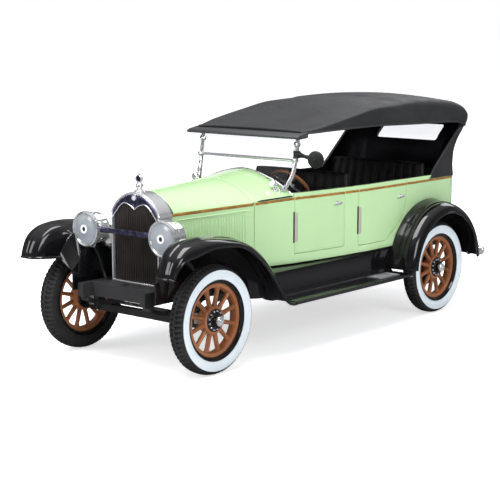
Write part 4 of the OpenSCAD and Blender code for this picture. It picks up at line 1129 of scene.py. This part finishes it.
def wheelShape():
    low, high = wheel["felloe"]
    felloe = painted(turned([(low, 1.0), (low + 0.25, 1.5), (high - 0.1, 1.6), (high + 0.05, 1.5),
        (high + 0.05, -1.5), (high - 0.1, -1.6), (low + 0.25, -1.5), (low, -1.0), (low, 1.0)], 96), 0)
    rim = painted(turned([(high + 0.02, 1.35), (high + 0.1, 1.9), (12.35, 2.05), (12.55, 2.5), (12.8, 2.6),
        (12.95, 2.4), (12.75, 1.9), (12.7, 0), (12.75, -1.9), (12.95, -2.4), (12.8, -2.6), (12.55, -2.5),
        (12.35, -2.05), (high + 0.1, -1.9), (high + 0.02, -1.35), (high + 0.02, 1.35)], 96), 1)
    spokes = [painted(spokeShape(2 * pi * (i + 0.5) / wheel["spokes"]), 0) for i in range(wheel["spokes"])]
    boss = painted(turned([(0, -2.0), (4.2, -2.0), (4.5, -1.4), (4.5, 1.3), (4.2, 1.5), (0, 1.5)], 48), 0)
    hub = painted(turned([(0, -2.6), (3.4, -2.6), (3.6, -2.4), (3.6, -2.0), (3.75, -1.9), (3.75, 1.45),
        (3.6, 1.65), (2.45, 1.7), (2.1, 1.9), (1.95, 2.2), (1.9, 3.3), (1.7, 3.5), (0, 3.5)], 48), 1)
    cap = painted(turned([(0, 3.3), (1.62, 3.3), (1.72, 3.45), (1.72, 3.95), (1.45, 4.25), (0.8, 4.35),
        (0.7, 4.5), (0, 4.52)], 8), 2)
    bmesh.ops.bevel(cap, geom=cap.edges[:], offset=0.06, segments=1, affect="EDGES", profile=0.5, material=-1)
    nuts = []
    for i in range(wheel["nuts"]):
        a = 2 * pi * (i + 0.5) / wheel["nuts"]
        nut = turned([(0, 1.5), (0.36, 1.5), (0.36, 1.95), (0.22, 2.12), (0, 2.12)], 6)
        nuts.append(painted(shifted(nut, (2.95 * cos(a), 2.95 * sin(a), 0)), 2))
    return joined(felloe, rim, *spokes, boss, hub, cap, *nuts)


def wheelPlaces():
    for end, y in (("front", frontY), ("rear", rearY)):
        for side, sign in leftRight:
            yield f"{end}_{side}", (sign * trackHalf, y, axleZ), (sign, 0, 0)


for name, where, outward in wheelPlaces():
    addPiece(f"tyre_{name}_shaped", pointing(tyreShape(), where, outward), ("rubber", "whitewall"),
             body=f"road_wheel_{name}", replaces=f"tyre_{name}", angle=30)
    addPiece(f"wheel_{name}_shaped", pointing(wheelShape(), where, outward), ("wood", "gloss", "chrome"),
             body=f"road_wheel_{name}", replaces=f"wheel_{name}", angle=40)
spare = middle("spare_tyre")
addPiece("spareTyre", pointing(tyreShape(), spare, (0, 1, 0)), ("rubber", "whitewall"),
         replaces="spare_tyre", angle=30)
spareRim = turned([(11.5, 1.9), (11.8, 2.05), (12.35, 2.15), (12.6, 2.55), (12.9, 2.45), (12.72, 1.9),
    (12.7, -1.9), (12.9, -2.45), (12.6, -2.55), (12.3, -2.1), (11.6, -1.9), (11.45, 0), (11.5, 1.9)], 96)
addPiece("spareRim", pointing(spareRim, spare, (0, 1, 0)), "gloss")
spareArms = [rod(smoothLine([(0, backY + 1.5, spare.z), (4.5 * cos(a), spare.y - 2.6, spare.z + 4.5 * sin(a)),
                             (11.9 * cos(a), spare.y - 0.6, spare.z + 11.9 * sin(a))]), 0.75)
             for a in (radians(30), radians(150), radians(270))]
sparePlate = pointing(turned([(0, -2.6), (2.4, -2.6), (2.4, 1.2), (3.6, 1.6), (3.6, 2.3), (3.1, 2.7),
    (1.4, 2.8), (1.1, 3.5), (0, 3.6)], 40), (0, spare.y - 4.4, spare.z), (0, 1, 0))
addPiece("spareBracket", joined(*spareArms, sparePlate), "gloss", replaces="spare_carrier")
print("wheels made")

# ---------- windscreen ----------

screen = {"posts": [(19.0, -2.8, 52.4), (20.1, -1.2, 54.8), (21.0, 0.2, 57.6), (21.4, 1.2, 61.0),
    (21.5, 2.1, 66.0), (21.5, 2.9, 71.2)], "bar": (doorY + 1.3, 63.0), "head": (doorY + 3.0, 71.4),
    "paneHalf": 20.7}
postLine = [(x, doorY + d, z) for x, d, z in screen["posts"]]
posts = rod(smoothLine(postLine), 0.74)
clampProfile = [(0, -0.9), (0.95, -0.8), (1.05, -0.3), (0.85, 0), (1.05, 0.3), (0.95, 0.8), (0, 0.9)]
clamps = [pointing(turned(clampProfile, 24), p, (1, 0, 0.1)) for p in ((21.5, *screen["bar"]),
    (21.5, doorY + 2.4, 68.4))]
bars = [rod([(-21.5, *screen[key]), (21.5, *screen[key])], r) for key, r in (("bar", 0.5), ("head", 0.6))]
addPiece("windscreenFrame", joined(bothSides(joined(posts, *clamps)), *bars), "chrome",
         replaces="windscreen_frame")


(barY, barZ), (headY, headZ) = screen["bar"], screen["head"]


def upperPane(u, v):
    t = 0.04 + 0.92 * v
    return Vector((screen["paneHalf"] * (2 * u - 1), barY + (headY - barY) * t, barZ + (headZ - barZ) * t))


def lowerPane(u, v):
    x = screen["paneHalf"] * (2 * u - 1)
    low = max(crownZ(x, doorY - 2), 53.2) + 0.35
    z = low + (barZ - 0.4 - low) * v
    return Vector((x, barY - 0.25 - (barZ - z) * 0.51, z))


addPiece("windscreenPanes", joined(surface(upperPane, 20, 4, away=(0, 60, 60)),
    surface(lowerPane, 40, 6, away=(0, 60, 60))), "pane", replaces="windscreen_glass", wall=0.3)
visorZ = 71.3
visorOutline = rounded([(doorY + 3.6, visorZ + 1.3), (doorY - 1.4, visorZ + 0.4),
    (doorY - 2.3, visorZ - 0.45), (doorY - 1.2, visorZ - 0.95), (doorY + 3.6, visorZ - 0.6)],
    [0.5, 0.9, 0.4, 0.8, 0.7])
addPiece("sunVisor", prism(visorOutline, -25.3, 25.3), "cloth", replaces="sun_visor",
    bevel=0.25)


def mirrorShape():
    clamp, eye = Vector((21.7, doorY + 1.9, 65.1)), Vector((28.2, doorY + 4.4, 63.5))
    facing = Vector((sin(radians(14)), -cos(radians(14)), 0))
    disc = pointing(turned([(0, -0.15), (2.75, -0.15), (2.95, 0.0), (3.0, 0.35), (2.75, 0.6), (2.6, 0.62),
        (2.5, 0.85), (2.3, 0.95), (1.2, 1.15), (0.6, 1.2), (0.5, 1.5), (0, 1.6)], 44), eye + facing * 0.2,
        facing)
    arm = rod([clamp.lerp(eye, i / 14) for i in range(13)],
              [1.25, 1.3, 1.2, 0.95, 0.75, 0.68, 0.66, 0.68, 0.72, 0.8, 0.95, 0.9, 0.7])
    collar = turned([(0, -1.35), (1.15, -1.35), (1.25, -1.0), (1.05, -0.7), (1.25, -0.3), (1.05, 0.1),
        (1.25, 0.5), (1.15, 1.2), (0, 1.2)], 28)
    return joined(disc, arm, shifted(collar, clamp))


addPiece("sideMirror", mirrorShape(), "satin", replaces="side_mirror")
print("windscreen made")

# ---------- top ----------

roof = {
    "z": 74.5, "wall": 1.1,
    # place, half width, centre, shoulder, lower edge of the valance, roundness of the shoulder
    "rows": [(doorY + 2.4, 23.6, -1.2, -1.6, -2.5, 0.5), (doorY + 8, 25.4, 0.1, -0.8, -2.3, 0.7),
             (doorY + 13, 26.2, 1.3, 0.2, -2.1, 0.9), (doorY + 28, 26.5, 4.6, 2.8, -2.0, 1.2),
             (doorY + 44, 26.5, 7.2, 5.3, -2.1, 1.7), (doorY + 57, 26.5, 7.8, 5.9, -2.4, 2.2),
             (doorY + 61, 26.5, 8.2, 6.4, -2.5, 2.5), (rearY - 7.8, 26.5, 8.3, 6.6, -2.7, 2.9),
             (rearY + 2.5, 26.5, 8.0, 6.3, -2.9, 3.2), (backY - 10, 26.5, 7.1, 5.6, -3.1, 3.4),
             (backY - 3, 26.5, 5.7, 4.7, -3.5, 3.4), (backY + 2, 26.4, 4.1, 3.3, -4.2, 3.0),
             (backY + 6, 25.6, 2.2, 1.5, -5.0, 2.6), (backY + 9, 23.6, 0.2, -0.3, -5.6, 2.0),
             (backY + 11, 20.9, -1.7, -2.1, -5.8, 1.4), (backY + 12.3, 17, -3.5, -3.8, -5.8, 0.8)],
}


def roofShape(u, v):
    y = roof["rows"][0][0] + (roof["rows"][-1][0] - roof["rows"][0][0]) * v
    w, centre, edge, low, r = follow(roof["rows"], y)
    s = 2 * min(u, 1 - u)
    if s < 0.14:
        tuck = 1.3 * max(0, min(1, (y - backY + 6) / 12)) * (1 - s / 0.14) ** 2
        x, z = w - tuck, low + (edge - r - low) * s / 0.14
    elif s < 0.40:
        a = pi / 2 * (s - 0.14) / 0.26
        x, z = w - r + r * cos(a), edge - r + r * sin(a)
    else:
        x = (w - r) * (1 - (s - 0.40) / 0.60)
        z = edge + (centre - edge) * (1 - (x / (w - r)) ** 2)
    return Vector((x if u < 0.5 else -x, y, roof["z"] + z))


def edgePiping():
    lips = [rod([roofShape(u, v) + Vector((0, 0, 0.05)) for v in evenly(0, 1, 70)], 0.36, sides=3)
        for u in (0.004, 0.996)]
    return joined(*lips, rod([roofShape(u, 0) + Vector((0, 0.1, -0.2)) for u in evenly(0, 1, 60)], 0.42,
        sides=3))


addPiece("topRoof", surface(roofShape, 100, 100, away=(0, 20, 40)), ("cloth", "lining"), inner=1, even=False,
    replaces="top", wall=roof["wall"], bevel=0.15, angle=50)
addPiece("topPiping", edgePiping(), "cloth")

curtain = {"foot": 50.75 - 74.5, "corner": 8.0, "halfWidth": 26.25,
           "back": [(-23.8, 0.35), (-21.5, 0.5), (-15.1, 1.5), (-10.5, 4.2), (-5.8, 9.0), (-3.5, 11.0)],
           "sag": 3.2, "window": (29.0, 6.0, 66.1)}


def curtainBack(x, z):
    # Distance behind the body at height z under the roof, a little hollow in the middle
    belly = max(0, sin(pi * (z + 22) / 19)) if -22 < z < -3 else 0
    return backY + follow(curtain["back"], z) - curtain["sag"] * belly * max(0, 1 - (x / 20) ** 2)


def curtainShape(u, v):
    z = curtain["foot"] + (-3.8 - curtain["foot"]) * v
    r = curtain["corner"] + 1.8 * v
    x1, yBack = curtain["halfWidth"] + 0.5 * max(0, (-20 - z) / 3.8), curtainBack(30, z)
    yFront = rearY + 2.2 + (z + 22.4) * 1.177
    side, corner = 0.22, 0.14
    s = u if u < 0.5 else 1 - u
    if s < side:
        x, y = x1, yFront + (yBack - r - yFront) * s / side
    elif s < side + corner:
        a = pi / 2 * (s - side) / corner
        x, y = x1 - r + r * cos(a), yBack - r + r * sin(a)
    else:
        x = (x1 - r) * (0.5 - s) / (0.5 - side - corner)
        y = curtainBack(x, z)
    return Vector((x if u < 0.5 else -x, y, roof["z"] + z))


def windowOutline(grow, radius, steps=5):
    w, h, z = curtain["window"]
    w, h = w / 2 + grow, h / 2 + grow
    return rounded([(-w, z - h), (w, z - h), (w, z + h), (-w, z + h)], [radius] * 4, steps)


windowHole = moved(prism(windowOutline(0, 1.3), backY - 2, backY + 16), Matrix.Rotation(pi / 2, 4, "Z"))
addPiece("rearCurtain", surface(curtainShape, 100, 30, away=(0, 60, 60)), ("cloth", "lining"), inner=1,
    even=False, replaces="rear_curtain", wall=1.0, cuts=[windowHole], bevel=0.14, angle=50)


def onCurtain(x, z, out=0.0):
    return Vector((x, curtainBack(x, z - roof["z"]) + out, z))


addPiece("rearWindowBeading", rod([onCurtain(x, z, 0.1) for x, z in windowOutline(0.3, 1.5, 8)], 0.36,
    sides=3, closed=True), "satin")
windowW, windowH, windowZ = curtain["window"]


def windowPane(u, v):
    return onCurtain(windowW * (u - 0.5), windowZ + windowH * (v - 0.5), -0.45)


addPiece("rearWindowPane", surface(windowPane, 12, 6, away=(0, 0, 60)), "pane", replaces="rear_window",
    wall=0.3)
print("top made")

# ---------- inside ----------

seats = {
    "front": {"y": doorY + 15, "w": half(doorY + 15) - 2.1, "lean": 8, "pleats": 9},
    "rear": {"y": rearY - 13, "w": 22.7, "lean": 10, "pleats": 11},
}


def padShape(low, high, pleats, crown, plump):
    # A crowned pad with sewn channels along Y, made from a cube that is cut up and blown out
    build = bmesh.new()
    bmesh.ops.create_cube(build, size=2)
    bmesh.ops.subdivide_edges(build, edges=build.edges[:], cuts=4 * pleats - 1, use_grid_fill=True)
    low, high = Vector(low), Vector(high)
    size, mid = (high - low) / 2, (high + low) / 2
    for v in build.verts:
        x, y, z = v.co
        side = sqrt(max(1 - 0.10 * (y * y + z * z), 0))
        belly = (1 - x ** 8) * (1 - y ** 8)
        channel = abs(sin(pi * (x + 1) / 2 * pleats)) ** 0.55 if z > 0.9 else 1
        v.co = Vector((x * side * (1 - 0.012 * y * y), y * (1 - 0.05 * z * z - 0.03 * x ** 6),
                       z * (1 - 0.10 * x ** 6 - 0.10 * y ** 6) + (crown * belly if z > 0 else 0)
                       - (plump * (1 - channel) if z > 0.9 else 0)))
        v.co = Vector((v.co.x * size.x, v.co.y * size.y, v.co.z * size.z)) + mid
    return facesOut(build)


for which, seat in seats.items():
    y, w = seat["y"], seat["w"]
    cushion = padShape((-w, y, 32.5), (w, y + 15, 38.0), seat["pleats"], 0.18, 0.22)
    back = padShape((-w, -12.5, -2.0), (w, 12.5, 1.6), seat["pleats"], 0.35, 0.4)
    lean = Matrix.Rotation(radians(90 - seat["lean"]), 4, "X")
    moved(back, Matrix.Translation((0, y + 15.5, 44.0)) @ lean)
    plinth = block((-w + 1, y + 1.5, 27.2), (w - 1, y + 13.5, 33.2), bevel=0.4)
    addPiece(f"{which}Seat", joined(cushion, back, plinth), "leather", replaces=f"{which}_seat", angle=60)

wheelAt, tilt = Vector((11, doorY + 12, 52.4)), radians(39)
columnDirection = Vector((0, cos(tilt), sin(tilt)))
handRim = turned([(7.4 + 0.62 * cos(a), 0.62 * sin(a)) for a in evenly(0, 2 * pi, 14)], 72)
for v in handRim.verts:  # finger grips under the rim
    if v.co.z < 0:
        v.co.z *= 1 + 0.12 * sin(24 * atan2(v.co.y, v.co.x))
handSpokes = [painted(rod([(1.2 * cos(a), 1.2 * sin(a), 0.15), (4 * cos(a), 4 * sin(a), 0.1),
    (7.2 * cos(a), 7.2 * sin(a), 0)], [0.5, 0.32, 0.4], sides=3), 1)
    for a in (radians(45 + 90 * i) for i in range(4))]
handHub = painted(turned([(0, 1.5), (0.7, 1.45), (1.2, 1.1), (1.5, 0.6), (1.55, 0), (1.5, -0.8), (0.7, -0.9),
    (0, -0.9)], 32), 1)
addPiece("handWheel", pointing(joined(painted(handRim, 0), *handSpokes, handHub), wheelAt, columnDirection),
    ("wood", "chrome"), body="hand_wheel", replaces="steering_wheel")
print("inside made")

# ---------- parts whose shape is the frame's own ----------

cadCopy("lampBar", "headlamp_bar", "navy", 0.12)
cadCopy("engineBlock", "engine_block", "cast", 0.7)
ownLooks = {
    "chassis": "satin", "springs": "satin", "front_axle": "satin", "rear_axle": "satin", "exhaust": "cast",
    "floor_pan": "satin", "firewall": "satin", "dashboard": "lining", "bonnet_hinge": "mint",
    "knuckle_left": "steel", "knuckle_right": "steel", "tie_rod": "steel", "steering_column": "satin",
}
for node, look in ownLooks.items():
    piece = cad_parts[node]
    piece.data.materials.clear()
    piece.data.materials.append(looks[look])
print("frame parts finished")
